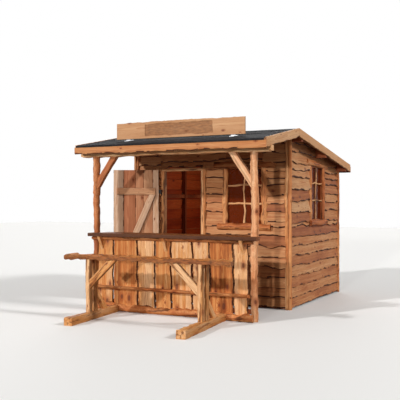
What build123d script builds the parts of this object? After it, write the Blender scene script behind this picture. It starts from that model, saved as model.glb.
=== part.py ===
from build123d import *
from math import copysign, hypot, radians, sin, tan
import os

# A rustic garden hut of live-edge boards: a boarded room with a door and two windows, and a
# gabled roof whose ridge lies just ahead of the front wall and whose front slope covers a bar.
# Frame: +X to the right seen from the front, +Y to the rear, +Z up, in millimetres.
# The origin is on the ground, in the middle of the room's plan.

# A live edge has a point about every so far along it
wave_spacing = 260.0

# The room: a skin of boards on studs
room_width = 2600.0
room_depth = 2310.0
wall = 28.0
stud_width = 50.0
stud_depth = 60.0
wall_rail_height = 60.0
wall_rail_depth = 45.0
wall_rail_bottom = 1620.0
rear_stud_spacing = 860.0
left_stud_centre = 315.0

# The porch, measured from the front wall's face to the line of the posts
porch_depth = 1155.0
post_spacing = 2500.0
post_radius = 48.0
post_bend = 4.0
header_height = 174.0
header_thickness = 90.0
header_beyond_roof = 6.0
header_wave = 7.0

# The roof
ridge_height = 2585.0
ridge_ahead = 125.0
front_pitch = 10.2
rear_pitch = 9.0
roof_board = 20.0
side_overhang = 200.0
front_overhang = 205.0
rear_overhang = 146.0
felt = 4.0
felt_lip = 26.0
fascia = 20.0
fascia_height = 100.0
fascia_wave = 6.0
barge = 25.0
barge_height = 118.0
barge_above_boards = 11.0
barge_wave = 6.0
barge_ridge_gap = 2.0
barge_wave_spacing = 230.0
purlin_width = 60.0
purlin_height = 110.0

# The floor
bearer_width = 70.0
bearer_height = 70.0
floor_board = 22.0
floor_gap = 5.0

# The doorway and its leaf
door_centre = -467.0
door_clear_width = 656.0
door_below_ridge = 550.0
jamb = 45.0
trim_width = 60.0
trim_depth = 44.0
trim_wave = 4.0
leaf_overlap = 25.0
leaf_board = 25.0
leaf_frame_gap = 5.0
leaf_bottom_gap = 8.0
leaf_board_gap = 5.0
leaf_board_shares = (0.13, 0.20, 0.18, 0.27, 0.22)
leaf_wave = 2.0
ledge_height = 105.0
ledge_from_end = 280.0
ledge_clearance = 28.0
brace_width = 100.0
door_open_angle = 150.0

# The strap hinges
hinge_edge_gap = 20.0
hinge_stand_off = 15.0
pin_radius = 6.0
pin_clearance = 0.08
eye_radius = 12.0
eye_height = 40.0
strap = 4.0
strap_length = 480.0
strap_width = 40.0
pintle_plate = 5.0
pintle_plate_width = 28.0
pintle_plate_height = 90.0

# The windows
window_below_ridge = 1350.0
window_height = 815.0
window_width = 550.0
front_window_centre = 592.0
side_window_centre = 60.0
side_window_lift = 44.0
sash = 24.0
sash_depth = 40.0
pane = 4.0
pole_width = 96.0
pole_depth = 36.0
pole_wave = 6.0
sill_height = 105.0
sill_depth = 62.0
sill_beyond = 152.0
side_sill_beyond = 108.0
lintel_height = 105.0
lintel_depth = 40.0
lintel_beyond = 227.0
rail_wave = 7.0
seat_gap = 2.0

# The trims on the corners of the room
corner_width = 66.0
corner_depth = 42.0
rear_corner_depth = 34.0
cheek_width = 56.0
corner_wave = 5.0

# The bar between the posts
counter_height = 1110.0
counter_thickness = 48.0
counter_beyond_left_post = 40.0
counter_beyond_right_post = 106.0
counter_front = 170.0
counter_back = 230.0
counter_clearance = 3.0
bar_board = 25.0
bar_front_clearance = 3.0
bar_board_bottom = 20.0
bar_board_gap = 16.0
bar_board_shares = (0.114, 0.174, 0.120, 0.107, 0.138, 0.112, 0.146, 0.089)
bar_board_wave = 6.3
bar_end_gap = 20.0
batten_height = 60.0
batten_depth = 40.0
lower_batten_bottom = 100.0
bar_rail_overhang = 15.0
bar_rail_depth = 55.0
top_rail_height = 52.0
bottom_rail_height = 104.0
foot_rail_top = 360.0
foot_rail_height = 48.0
foot_rail_depth = 112.0
foot_rail_inset = 30.0

# The brackets under the counter's front edge
counter_bracket_from_post = 135.0
middle_bracket_centre = -50.0
counter_bracket_width = 42.0
counter_bracket_reach = 100.0
counter_bracket_drop = 190.0

# The leaning rail in front of the bar
plank_length = 2480.0
plank_centre = 90.0
plank_top = 855.0
plank_thickness = 56.0
plank_width = 200.0
plank_wave = 10.0
plank_wave_spacing = 240.0
plank_end_skew = 55.0
stand_spacing = 1675.0
stand_centre = 72.0
rail_distance = 782.0
left_foot_front = 585.0
right_foot_front = 680.0
foot_swing = 145.0
foot_width = 118.0
foot_height = 108.0
foot_tail_width = 100.0
foot_tail_height = 92.0
foot_crown_height = 0.55
foot_crown_width = 0.62
upright_width = 60.0
upright_depth = 58.0
upright_spacing = 130.0
stand_brace_width = 88.0
stand_brace_depth = 46.0
knee_reach = 410.0
knee_drop = 385.0
strut_reach = 375.0
strut_rise = 350.0

# The knee braces of the posts
porch_brace_reach = 362.0
porch_brace_drop = 510.0
porch_brace_width = 88.0
porch_brace_depth = 62.0

# The bare board on the roof
sign_length = 2074.0
sign_centre = -32.0
sign_height = 236.0
sign_thickness = 28.0
sign_from_posts = 250.0
sign_above_felt = 28.0
sign_wave = 9.0
sign_recess_end = 490.0
sign_recess_edge = 32.0
sign_recess_depth = 5.0
bracket_from_end = 185.0
bracket_width = 70.0
bracket_leaf = 4.0
bracket_foot = 95.0
bracket_rise = 130.0

# Places that follow from the sizes above
half_room = room_width / 2
half_depth = room_depth / 2
front_face = -half_depth
post_line = front_face - porch_depth
ridge_line = front_face - ridge_ahead
front_slope = tan(radians(front_pitch))
rear_slope = tan(radians(rear_pitch))
roof_width = room_width + 2 * side_overhang
roof_front = post_line - front_overhang
roof_rear = half_depth + rear_overhang
barge_inner = roof_width / 2 - barge
floor_top = bearer_height + floor_board
far = 10000.0

parts = {}


def block(x0, x1, y0, y1, z0, z1):
    """A box between two corners."""
    return Pos((x0 + x1) / 2, (y0 + y1) / 2, (z0 + z1) / 2) * Box(x1 - x0, y1 - y0, z1 - z0)


def roof_top(y):
    """Height of the roof boards' upper face at a distance along the room."""
    run = y - ridge_line
    return ridge_height - (rear_slope * run if run > 0 else -front_slope * run)


def roof_under(y):
    return roof_top(y) - roof_board


def wave(start, end, level, height, phase, spacing=wave_spacing):
    """Points of a live edge: two sine waves round a level, fading to it at both ends."""
    count = max(4, round((end - start) / spacing))
    points = []
    for i in range(count + 1):
        t = i / count
        swing = sin(2.3 * i + phase) + 0.6 * sin(1.1 * i + 2.0 * phase)
        fade = min(1.0, 4.0 * t, 4.0 * (1.0 - t))
        points.append((start + (end - start) * t, level + height * swing * fade / 1.6))
    return points


def edge_through(points):
    return Polyline(*points) if len(points) == 2 else Spline(*points)


def flat_board(place, lower, upper, thickness, direction):
    """A board whose two long edges are given as points (along, across).

    place turns such a point into one of the model, and the board is thickened in direction."""
    low = [place(*p) for p in lower]
    high = [place(*p) for p in upper]
    outline = [
        edge_through(low),
        Line(low[-1], high[-1]),
        edge_through(high),
        Line(high[0], low[0]),
    ]
    return extrude(make_face(outline), amount=thickness, dir=direction)


def front_board(x0, x1, z0, z1, y0, y1, low_wave=0.0, high_wave=0.0, phase=0.0):
    """A board lying along X and facing the front, with live long edges where asked."""
    lower = wave(x0, x1, z0, low_wave, phase) if low_wave else [(x0, z0), (x1, z0)]
    upper = wave(x0, x1, z1, high_wave, phase + 1.3) if high_wave else [(x0, z1), (x1, z1)]
    return flat_board(lambda a, b: (a, y0, b), lower, upper, y1 - y0, (0, 1, 0))


def upright_board(x0, x1, z0, z1, y0, y1, edge_wave, phase, foot=0.0):
    """A board standing along Z and facing the front, with live side edges."""
    left = wave(z0 + foot, z1, x0, edge_wave, phase)
    right = wave(z0 + foot, z1, x1, edge_wave, phase + 2.1)
    return flat_board(lambda a, b: (b, y0, a), left, right, y1 - y0, (0, 1, 0))


def straight_brace(place, corner, far_end, level, width, thickness, direction):
    """A straight brace, cut upright at its corner against a post and level at its far end.

    corner is (along, up), and place turns such a point into one of the model."""
    along, up = corner
    run, rise = far_end - along, level - up
    length = hypot(run, rise)
    upright_cut = copysign(width * length / abs(run), rise)
    level_cut = copysign(width * length / abs(rise), run)
    outline = Polyline(
        place(along, up),
        place(along, up + upright_cut),
        place(far_end - level_cut, level),
        place(far_end, level),
        place(along, up),
    )
    return extrude(make_face(outline), amount=thickness, dir=direction)


def half_log(x0, x1, z0, z1, back, depth, swell, phase, sections=7):
    """A half-round log lying along X, its flat side on the plane y = back.

    Its section is half an ellipse, which swells and drifts a little along the log."""
    faces = []
    for i in range(sections):
        x = x0 + (x1 - x0) * i / (sections - 1)
        rise = (z1 - z0) / 2 - 0.5 * swell * (1.0 + sin(1.7 * i + phase)) / 2
        drift = 0.4 * ((z1 - z0) / 2 - rise) * sin(1.3 * i + 2.0 * phase)
        out = depth - 0.6 * swell * (1.0 + sin(2.1 * i + phase)) / 2
        section = Plane(origin=(x, back, (z0 + z1) / 2 + drift), x_dir=(0, -1, 0), z_dir=(-1, 0, 0))
        bow = EllipticalCenterArc((0, 0), out, rise, start_angle=-90, arc_size=180)
        faces.append(section * make_face([bow, Line((0, rise), (0, -rise))]))
    return loft(faces, ruled=True)


def half_log_shelf(x0, x1, top, height, back, depth, swell, phase, sections):
    """A half-round log lying along X against the plane y = back, its flat side upwards."""
    faces = []
    for i in range(sections):
        x = x0 + (x1 - x0) * i / (sections - 1)
        out = depth - swell * (1.0 + sin(1.9 * i + phase)) / 2
        drop = height - 0.5 * swell * (1.0 + sin(1.3 * i + phase)) / 2
        section = Plane(origin=(x, back, top), x_dir=(0, -1, 0), z_dir=(-1, 0, 0))
        bow = EllipticalCenterArc((0, 0), out, drop, start_angle=-90, arc_size=90)
        faces.append(section * make_face([bow, Line((out, 0), (0, 0)), Line((0, 0), (0, -drop))]))
    return loft(faces, ruled=True)


def pole(x, y, z0, z1, radius, bend, phase, sections=6):
    """A peeled round pole standing at (x, y): circles lofted up a slightly bent line."""
    faces = []
    for i in range(sections):
        z = z0 + (z1 - z0) * i / (sections - 1)
        r = radius * (0.94 + 0.10 * i / (sections - 1)) + 1.5 * sin(2.0 * i + phase)
        centre = (x + bend * sin(1.9 * i + phase), y + 0.5 * bend * sin(1.4 * i + phase), z)
        faces.append(Plane(origin=centre, z_dir=(0, 0, 1)) * Circle(r))
    return loft([f.face() for f in faces], ruled=True)


def one(shape):
    """The largest solid of a cut piece."""
    return max(shape.solids(), key=lambda s: s.volume)


def turned(shape, angle, x, y):
    """The shape turned about a vertical line through (x, y)."""
    return shape.rotate(Axis((x, y, 0), (0, 0, 1)), angle)


def save(name, *shapes):
    solids = [s for shape in shapes for s in shape.solids()]
    parts[name] = Compound(children=solids)


# Everything below the roof boards, for pieces that are cut to the slope
under_roof = extrude(
    make_face(
        Polyline(
            (-far / 2, roof_front - 100, roof_under(roof_front - 100)),
            (-far / 2, ridge_line, roof_under(ridge_line)),
            (-far / 2, roof_rear + 100, roof_under(roof_rear + 100)),
            (-far / 2, roof_rear + 100, -100),
            (-far / 2, roof_front - 100, -100),
            (-far / 2, roof_front - 100, roof_under(roof_front - 100)),
        )
    ),
    amount=far,
    dir=(1, 0, 0),
)


def roof_strip(y0, y1, lift_low, lift_high, x0, x1):
    """A sloping slab between two heights above the roof boards' upper face."""
    outline = Polyline(
        (x0, y0, roof_top(y0) + lift_low),
        (x0, y1, roof_top(y1) + lift_low),
        (x0, y1, roof_top(y1) + lift_high),
        (x0, y0, roof_top(y0) + lift_high),
        (x0, y0, roof_top(y0) + lift_low),
    )
    return extrude(make_face(outline), amount=x1 - x0, dir=(1, 0, 0))


# The roof boards, in two slopes that meet on the ridge line
save("roof_boards_front", roof_strip(roof_front, ridge_line, -roof_board, 0, -barge_inner, barge_inner))
save("roof_boards_rear", roof_strip(ridge_line, roof_rear, -roof_board, 0, -barge_inner, barge_inner))

# The felt lies on both slopes and is folded down over both eaves
felt_sheet = (
    roof_strip(roof_front, ridge_line, 0, felt, -barge_inner, barge_inner)
    + roof_strip(ridge_line, roof_rear, 0, felt, -barge_inner, barge_inner)
)
for eave, outer in ((roof_front, roof_front - felt), (roof_rear, roof_rear + felt)):
    near, away = min(eave, outer), max(eave, outer)
    lip_top = roof_top(eave) + felt
    felt_sheet += block(-barge_inner, barge_inner, near, away, lip_top - felt_lip, lip_top)
save("roofing_felt", one(felt_sheet))


# The barge boards: each gable end has a front and a rear one, and the front one has a live lower edge
def barge_board(y0, y1, low_wave, phase):
    def place(y, drop):
        return (barge_inner, y, roof_top(y) + barge_above_boards - drop)

    lower = [(y0, barge_height), (y1, barge_height)]
    if low_wave:
        lower = wave(y0, y1, barge_height, low_wave, phase, barge_wave_spacing)
    return flat_board(place, lower, [(y0, 0.0), (y1, 0.0)], barge, (1, 0, 0))


front_barge = barge_board(roof_front + fascia, ridge_line - barge_ridge_gap / 2, barge_wave, 0.4)
rear_barge = barge_board(ridge_line + barge_ridge_gap / 2, roof_rear - fascia, 0.0, 0.0)
right_barges = [front_barge, rear_barge]
save("barge_boards", *right_barges, *[mirror(s, about=Plane.YZ) for s in right_barges])

# The fascia boards close the eaves under the roof boards
eave_under = roof_under(roof_front)
front_fascia = front_board(
    -roof_width / 2, roof_width / 2, eave_under - fascia_height, eave_under + fascia,
    roof_front, roof_front + fascia, fascia_wave, 0.0, 0.9,
)
save("front_fascia", front_fascia & under_roof)
rear_under = roof_under(roof_rear)
rear_fascia = block(
    -roof_width / 2, roof_width / 2, roof_rear - fascia, roof_rear,
    rear_under - fascia_height, rear_under + fascia,
)
save("rear_fascia", rear_fascia & under_roof)

# The purlins lie inside the front wall's boards, at mid room and inside the rear wall's boards
inner_x = half_room - wall
inner_y = half_depth - wall
front_back = front_face + wall


def purlin(y0):
    under = roof_under(y0 + purlin_width) - purlin_height
    return block(-barge_inner, barge_inner, y0, y0 + purlin_width, under, ridge_height) & under_roof


purlins = [purlin(front_back), purlin(-purlin_width / 2), purlin(inner_y - purlin_width)]
save("roof_purlins", *purlins)

# The header beam over the posts, notched round the barge boards, with a live lower edge
header_end = roof_width / 2 + header_beyond_roof
header_bottom = roof_under(post_line) - header_height
header_front = post_line - header_thickness / 2
header_back = header_front + header_thickness
header = front_board(
    -header_end, header_end, header_bottom, ridge_height, header_front, header_back, header_wave, 0.0, 2.2
)
header = header & under_roof
for side in (1, -1):
    header = header - (front_barge if side > 0 else mirror(front_barge, about=Plane.YZ))
    header = header - block(
        min(side * barge_inner, side * far), max(side * barge_inner, side * far),
        post_line - header_thickness, post_line + header_thickness,
        roof_top(post_line - header_thickness) + barge_above_boards - barge_height + barge_height / 2, far,
    )
header = one(header)
save("header_beam", header)

# The posts, cut to the header's lower edge
inside_header = header_bottom + 3 * header_wave
posts = []
for x, phase in ((-post_spacing / 2, 0.7), (post_spacing / 2, 2.9)):
    posts.append(one(pole(x, post_line, 0, inside_header, post_radius, post_bend, phase) - header))
save("porch_posts", *posts)


# A knee brace runs from a post up to the header, and is cut to both
def porch_brace(side):
    foot_x = side * post_spacing / 2
    low = header_bottom - porch_brace_drop
    reach = porch_brace_reach * (inside_header - low) / porch_brace_drop
    brace = straight_brace(
        lambda along, up: (along, post_line - porch_brace_depth / 2, up),
        (foot_x, low), foot_x - side * reach, inside_header, porch_brace_width, porch_brace_depth, (0, 1, 0),
    )
    brace = brace - header
    for post in posts:
        brace = brace - post
    return one(brace)


save("porch_knee_braces", porch_brace(1), porch_brace(-1))

# The floor: three bearers on the ground and the boards on them, inside the walls
half_floor = inner_x - floor_gap
bearers = []
for y in (-inner_y + bearer_width, 0.0, inner_y - bearer_width):
    bearers.append(block(-half_floor, half_floor, y - bearer_width / 2, y + bearer_width / 2, 0, bearer_height))
save("floor_bearers", *bearers)
save("floor_boards", block(-half_floor, half_floor, -inner_y, inner_y, bearer_height, floor_top))

# The front wall stands between the side walls, and is split beside and over the doorway
door_clear_top = ridge_height - door_below_ridge
door_left = door_centre - door_clear_width / 2
door_right = door_centre + door_clear_width / 2
hole_left = door_left - jamb
hole_right = door_right + jamb
hole_top = door_clear_top + jamb
window_bottom = ridge_height - window_below_ridge
window_top = window_bottom + window_height
hole_half = window_width / 2 + sash


def window_hole(centre, face, lift):
    return block(
        centre - hole_half, centre + hole_half, face - 1, face + wall + 1,
        window_bottom - sash + lift, window_top + sash + lift,
    )


front_hole = window_hole(front_window_centre, front_face, 0)
save("front_wall_left", block(-inner_x, hole_left, front_face, front_back, 0, ridge_height) & under_roof)
over_door = block(hole_left, hole_right, front_face, front_back, hole_top, ridge_height)
save("front_wall_over_door", over_door & under_roof)
right_of_door = block(hole_right, inner_x, front_face, front_back, 0, ridge_height)
save("front_wall_right", (right_of_door & under_roof) - front_hole)

# The side walls run the whole depth, are cut to the roof's slope and carry the purlins in notches.
# Only the right one has a window.
side_hole = turned(window_hole(side_window_centre, -half_room, side_window_lift), 90, 0, 0)
side_wall = block(inner_x, half_room, -half_depth, half_depth, 0, ridge_height) & under_roof
side_wall = one(side_wall - purlins[0] - purlins[1] - purlins[2])
save("right_wall", one(side_wall - side_hole))
save("left_wall", mirror(side_wall, about=Plane.YZ))
save("rear_wall", block(-inner_x, inner_x, inner_y, half_depth, 0, ridge_height) & under_roof)

# Studs stand on the floor boards inside the skin: in the corners, beside the door and windows, in the
# left wall and along the rear wall. Those of the front and rear walls carry a purlin.
end_stud = inner_x - stud_width / 2
rail_top = wall_rail_bottom + wall_rail_height
front_stud_lines = (
    -end_stud,
    hole_left - stud_width / 2,
    hole_right + stud_width / 2,
    front_window_centre - hole_half - stud_width / 2,
    front_window_centre + hole_half + stud_width / 2,
    end_stud,
)
rear_stud_lines = (-end_stud, -rear_stud_spacing / 2, rear_stud_spacing / 2, end_stud)
right_stud_lines = [side_window_centre + side * (hole_half + stud_width / 2) for side in (-1, 1)]


def stud(x0, x1, y0, y1):
    upright = block(x0, x1, y0, y1, floor_top, ridge_height) & under_roof
    return one(upright - purlins[0] - purlins[1] - purlins[2])


studs = []
for x in front_stud_lines:
    studs.append(stud(x - stud_width / 2, x + stud_width / 2, front_back, front_back + stud_depth))
for x in rear_stud_lines:
    studs.append(stud(x - stud_width / 2, x + stud_width / 2, inner_y - stud_depth, inner_y))
for y in right_stud_lines:
    studs.append(stud(inner_x - stud_depth, inner_x, y - stud_width / 2, y + stud_width / 2))
studs.append(
    stud(-inner_x, -inner_x + stud_depth, left_stud_centre - stud_width / 2, left_stud_centre + stud_width / 2)
)
save("wall_studs", *studs)

# Rails between the studs stiffen the rear wall and the side walls
rails = []
for x0, x1 in zip(rear_stud_lines, rear_stud_lines[1:]):
    x0, x1 = x0 + stud_width / 2, x1 - stud_width / 2
    rails.append(block(x0, x1, inner_y - wall_rail_depth, inner_y, wall_rail_bottom, rail_top))
for side, before, after in (
    (1, right_stud_lines[0], right_stud_lines[1]),
    (-1, left_stud_centre, left_stud_centre),
):
    spans = (
        (front_back + stud_depth, before - stud_width / 2),
        (after + stud_width / 2, inner_y - stud_depth),
    )
    x = side * (inner_x - wall_rail_depth / 2)
    x0, x1 = x - wall_rail_depth / 2, x + wall_rail_depth / 2
    for y0, y1 in spans:
        rails.append(block(x0, x1, y0, y1, wall_rail_bottom, rail_top))
save("wall_rails", *rails)


# A window: a sash ring and a pane in the hole, and half-log trims on the wall's outer face
def window_sash(centre, face, lift):
    front = face + pole_wave
    ring = block(
        centre - hole_half, centre + hole_half, front, front + sash_depth,
        window_bottom - sash + lift, window_top + sash + lift,
    )
    ring = ring - block(
        centre - window_width / 2, centre + window_width / 2, front - 1, front + sash_depth + 1,
        window_bottom + lift, window_top + lift,
    )
    groove = sash / 2
    glass = block(
        centre - window_width / 2 - groove, centre + window_width / 2 + groove,
        front + sash_depth / 2, front + sash_depth / 2 + pane,
        window_bottom - groove + lift, window_top + groove + lift,
    )
    return ring - glass, glass


def window_trims(centre, face, lift, beyond, phase):
    left, right = centre - window_width / 2, centre + window_width / 2
    bottom, top = window_bottom + lift, window_top + lift
    sill = half_log(
        left - beyond, right + beyond, bottom - sill_height, bottom, face, sill_depth, rail_wave, phase
    )
    lintel = half_log(
        left - lintel_beyond, right + lintel_beyond, top, top + lintel_height,
        face, lintel_depth, rail_wave, phase + 1.0,
    )
    low, high = bottom + seat_gap, top - seat_gap
    jambs = [
        upright_board(left - pole_width, left, low, high, face - pole_depth, face, pole_wave, phase + 0.5),
        upright_board(right, right + pole_width, low, high, face - pole_depth, face, pole_wave, phase + 1.7),
    ]
    return [sill, lintel, *jambs]


front_sash, front_pane = window_sash(front_window_centre, front_face, 0)
save("front_window_frame", front_sash, *window_trims(front_window_centre, front_face, 0, sill_beyond, 0.3))

# A side window is the front one's form, turned to face the side
side_sash, side_pane = window_sash(side_window_centre, -half_room, side_window_lift)
side_trims = window_trims(side_window_centre, -half_room, side_window_lift, side_sill_beyond, 1.9)
save("right_window_frame", *[turned(s, 90, 0, 0) for s in (side_sash, *side_trims)])
save("window_panes", front_pane, turned(side_pane, 90, 0, 0))


# The trims on a right-hand corner: a flat one on the front or rear face, and a cheek round its side
def corner_trims(side, depth, eave_drop, phase):
    face, outer = side * half_depth, side * (half_depth + depth)
    inner = outer - side * cheek_width
    top = roof_under(outer) - eave_drop
    flat = upright_board(
        half_room - corner_width, half_room - seat_gap, 0, ridge_height, min(face, outer), max(face, outer),
        corner_wave, phase,
    )
    cheek = block(half_room, half_room + corner_depth, min(outer, inner), max(outer, inner), 0, ridge_height)
    cheek = cheek & under_roof
    for beam in purlins:
        cheek = cheek - beam
    return [flat & under_roof & block(-far, far, -far, far, 0, top), one(cheek)]


right_trims = corner_trims(-1, corner_depth, 0.0, 0.2)
right_trims += corner_trims(1, rear_corner_depth, fascia_height, 1.1)
save("corner_trims", *right_trims, *[mirror(s, about=Plane.YZ) for s in right_trims])

# The door frame: jambs between the threshold and the head, flush with the wall's outer face
frame_back = front_back + stud_depth
save(
    "door_jambs",
    block(hole_left, door_left, front_face, frame_back, floor_top, door_clear_top),
    block(door_right, hole_right, front_face, frame_back, floor_top, door_clear_top),
)
save("door_head", block(hole_left, hole_right, front_face, frame_back, door_clear_top, hole_top))
save("door_threshold", block(hole_left, hole_right, front_face, front_back, 0, floor_top))

leaf_left = door_left - leaf_overlap
leaf_right = door_right + leaf_overlap
hinge_x = leaf_left - hinge_edge_gap
leaf_back = front_face - leaf_frame_gap
leaf_front = leaf_back - leaf_board
hinge_y = leaf_front - hinge_stand_off
left_trim_edge = hinge_x - hinge_edge_gap
right_trim_edge = hole_right
door_trims = []
for x0, phase in ((left_trim_edge - trim_width, 0.6), (right_trim_edge, 2.4)):
    door_trims.append(
        upright_board(x0, x0 + trim_width, 0, hole_top, front_face - trim_depth, front_face, trim_wave, phase)
    )
save("door_trims", *door_trims)

# The leaf is drawn shut and then turned open on its hinges
leaf_bottom = floor_top + leaf_bottom_gap
leaf_top = door_clear_top + leaf_overlap - leaf_bottom_gap


def opened(shape):
    return turned(shape, -door_open_angle, hinge_x, hinge_y)


leaf_boards = []
board_left = leaf_left
usable = leaf_right - leaf_left - leaf_board_gap * (len(leaf_board_shares) - 1)
for i, share in enumerate(leaf_board_shares):
    board_right = board_left + usable * share / sum(leaf_board_shares)
    shut_board = upright_board(
        board_left, board_right, leaf_bottom, leaf_top, leaf_front, leaf_back, leaf_wave, 0.8 + i
    )
    leaf_boards.append(opened(shut_board))
    board_left = board_right + leaf_board_gap
save("door_boards", *leaf_boards)

# Two ledges and a diagonal brace hold the boards together on the room's side
ledge_left = door_left + ledge_clearance
ledge_right = door_right - ledge_clearance
low_ledge = leaf_bottom + ledge_from_end
high_ledge = leaf_top - ledge_from_end
ledge_back = leaf_back + leaf_board
ledges = block(ledge_left, ledge_right, leaf_back, ledge_back, low_ledge, low_ledge + ledge_height)
ledges += block(ledge_left, ledge_right, leaf_back, ledge_back, high_ledge - ledge_height, high_ledge)
brace_run = brace_width / 2
brace_outline = Polyline(
    (ledge_right - 2 * brace_run, leaf_back, low_ledge + ledge_height),
    (ledge_right, leaf_back, low_ledge + ledge_height),
    (ledge_left + 2 * brace_run, leaf_back, high_ledge - ledge_height),
    (ledge_left, leaf_back, high_ledge - ledge_height),
    (ledge_right - 2 * brace_run, leaf_back, low_ledge + ledge_height),
)
ledges += extrude(make_face(brace_outline), amount=leaf_board, dir=(0, 1, 0))
save("door_ledges", opened(one(ledges)))


# Each strap hinge: a strap with a rolled eye on the leaf, and a pintle on the wall
def hinge_strap(z):
    bar = block(
        hinge_x, leaf_left + strap_length, leaf_front - strap, leaf_front,
        z - strap_width / 2, z + strap_width / 2,
    )
    eye = Pos(hinge_x, hinge_y, z) * Cylinder(eye_radius, eye_height)
    bore = Pos(hinge_x, hinge_y, z) * Cylinder(pin_radius + pin_clearance, eye_height + 2)
    return one(eye + bar - bore)


def hinge_pintle(z):
    under = z - eye_height / 2 - seat_gap
    pin = Pos(hinge_x, hinge_y, (under + z + eye_height / 2 + eye_radius) / 2) * Cylinder(
        pin_radius, z + eye_height / 2 + eye_radius - under
    )
    shelf = block(
        hinge_x - eye_radius, hinge_x + eye_radius, hinge_y - eye_radius, front_face - pintle_plate,
        under - eye_radius, under,
    )
    plate = block(
        hinge_x - pintle_plate_width / 2, hinge_x + pintle_plate_width / 2,
        front_face - pintle_plate, front_face,
        under - pintle_plate_height / 2, under + pintle_plate_height / 2,
    )
    return one(pin + shelf + plate)


hinge_heights = (low_ledge + ledge_height / 2, high_ledge - ledge_height / 2)
save("door_hinge_straps", *[opened(hinge_strap(z)) for z in hinge_heights])
save("door_hinge_pintles", *[hinge_pintle(z) for z in hinge_heights])

# The bar: battens between the posts, boards on them, and half logs in front
board_face = post_line - post_radius - post_bend - bar_front_clearance
board_back = board_face + bar_board
counter_under = counter_height - counter_thickness
half_bar = post_spacing / 2
battens = []
for z in (lower_batten_bottom, counter_under - batten_height):
    batten = block(-half_bar, half_bar, board_back, board_back + batten_depth, z, z + batten_height)
    battens.append(one(batten - posts[0] - posts[1]))
save("bar_battens", *battens)

bar_boards = []
bar_start = -half_bar + post_radius + bar_end_gap
bar_room = 2 * (half_bar - post_radius - bar_end_gap) - bar_board_gap * (len(bar_board_shares) - 1)
for i, share in enumerate(bar_board_shares):
    bar_end = bar_start + bar_room * share / sum(bar_board_shares)
    bar_boards.append(
        upright_board(
            bar_start, bar_end, bar_board_bottom, counter_under,
            board_face, board_back, bar_board_wave, 0.5 + 1.7 * i,
        )
    )
    bar_start = bar_end + bar_board_gap
save("bar_boards", *bar_boards)

half_rail = half_bar + bar_rail_overhang
top_rail = half_log(
    -half_rail, half_rail, counter_under - top_rail_height, counter_under,
    board_face, bar_rail_depth, rail_wave, 0.4, sections=9,
)
save("bar_top_rail", top_rail & block(-far, far, -far, far, 0, counter_under))
bottom_rail = half_log(
    -half_rail, half_rail, -rail_wave, bottom_rail_height,
    board_face, bar_rail_depth, rail_wave, 1.2, sections=9,
)
bottom_rail = bottom_rail & block(-far, far, -far, far, 0, bottom_rail_height)
save("bar_bottom_rail", bottom_rail)
half_foot_rail = half_bar - foot_rail_inset
foot_rail = half_log_shelf(
    -half_foot_rail, half_foot_rail, foot_rail_top, foot_rail_height,
    board_face, foot_rail_depth, rail_wave, 2.0, sections=9,
)
save("bar_foot_rail", foot_rail)

# The counter passes in front of the posts and reaches back between them
post_clear = post_radius + post_bend + counter_clearance
counter = block(
    -half_bar - counter_beyond_left_post, half_bar + counter_beyond_right_post,
    post_line - counter_front, post_line - post_clear, counter_under, counter_height,
)
counter += block(
    post_clear - half_bar, half_bar - post_clear, post_line - counter_front, post_line + counter_back,
    counter_under, counter_height,
)
save("counter_top", one(counter))

# Three brackets carry the counter's front edge from the boards, notched over the top rail
bracket_line = half_bar - counter_bracket_from_post
brackets = []
for x in (-bracket_line, middle_bracket_centre, bracket_line):
    x0 = x - counter_bracket_width / 2
    gusset = Polyline(
        (x0, board_face, counter_under),
        (x0, board_face - counter_bracket_reach, counter_under),
        (x0, board_face, counter_under - counter_bracket_drop),
        (x0, board_face, counter_under),
    )
    bracket = extrude(make_face(gusset), amount=counter_bracket_width, dir=(1, 0, 0))
    brackets.append(one(bracket - top_rail))
save("counter_brackets", *brackets)

# The leaning rail: a plank on two stands whose feet run back to the bar's bottom rail
rail_line = post_line - rail_distance
plank_under = plank_top - plank_thickness
plank_left = plank_centre - plank_length / 2
plank_right = plank_centre + plank_length / 2
plank_front, plank_back = rail_line - plank_width / 2, rail_line + plank_width / 2
front_edge = wave(plank_left, plank_right, plank_front, plank_wave, 0.2, plank_wave_spacing)
back_edge = wave(plank_left, plank_right - plank_end_skew, plank_back, plank_wave, 1.6, plank_wave_spacing)
plank = flat_board(lambda a, b: (a, b, plank_under), front_edge, back_edge, plank_thickness, (0, 0, 1))
save("rail_plank", plank)


# A foot is a flattened log that narrows and swings to the left towards its tail at the bar
def foot_section(x, y, width, height):
    half, crown, flat = width / 2, foot_crown_height * height, foot_crown_width * width / 2
    return make_face(
        Polyline(
            (x - half, y, crown), (x - half, y, 0), (x + half, y, 0), (x + half, y, crown),
            (x + flat, y, height), (x - flat, y, height), (x - half, y, crown),
        )
    )


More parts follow.
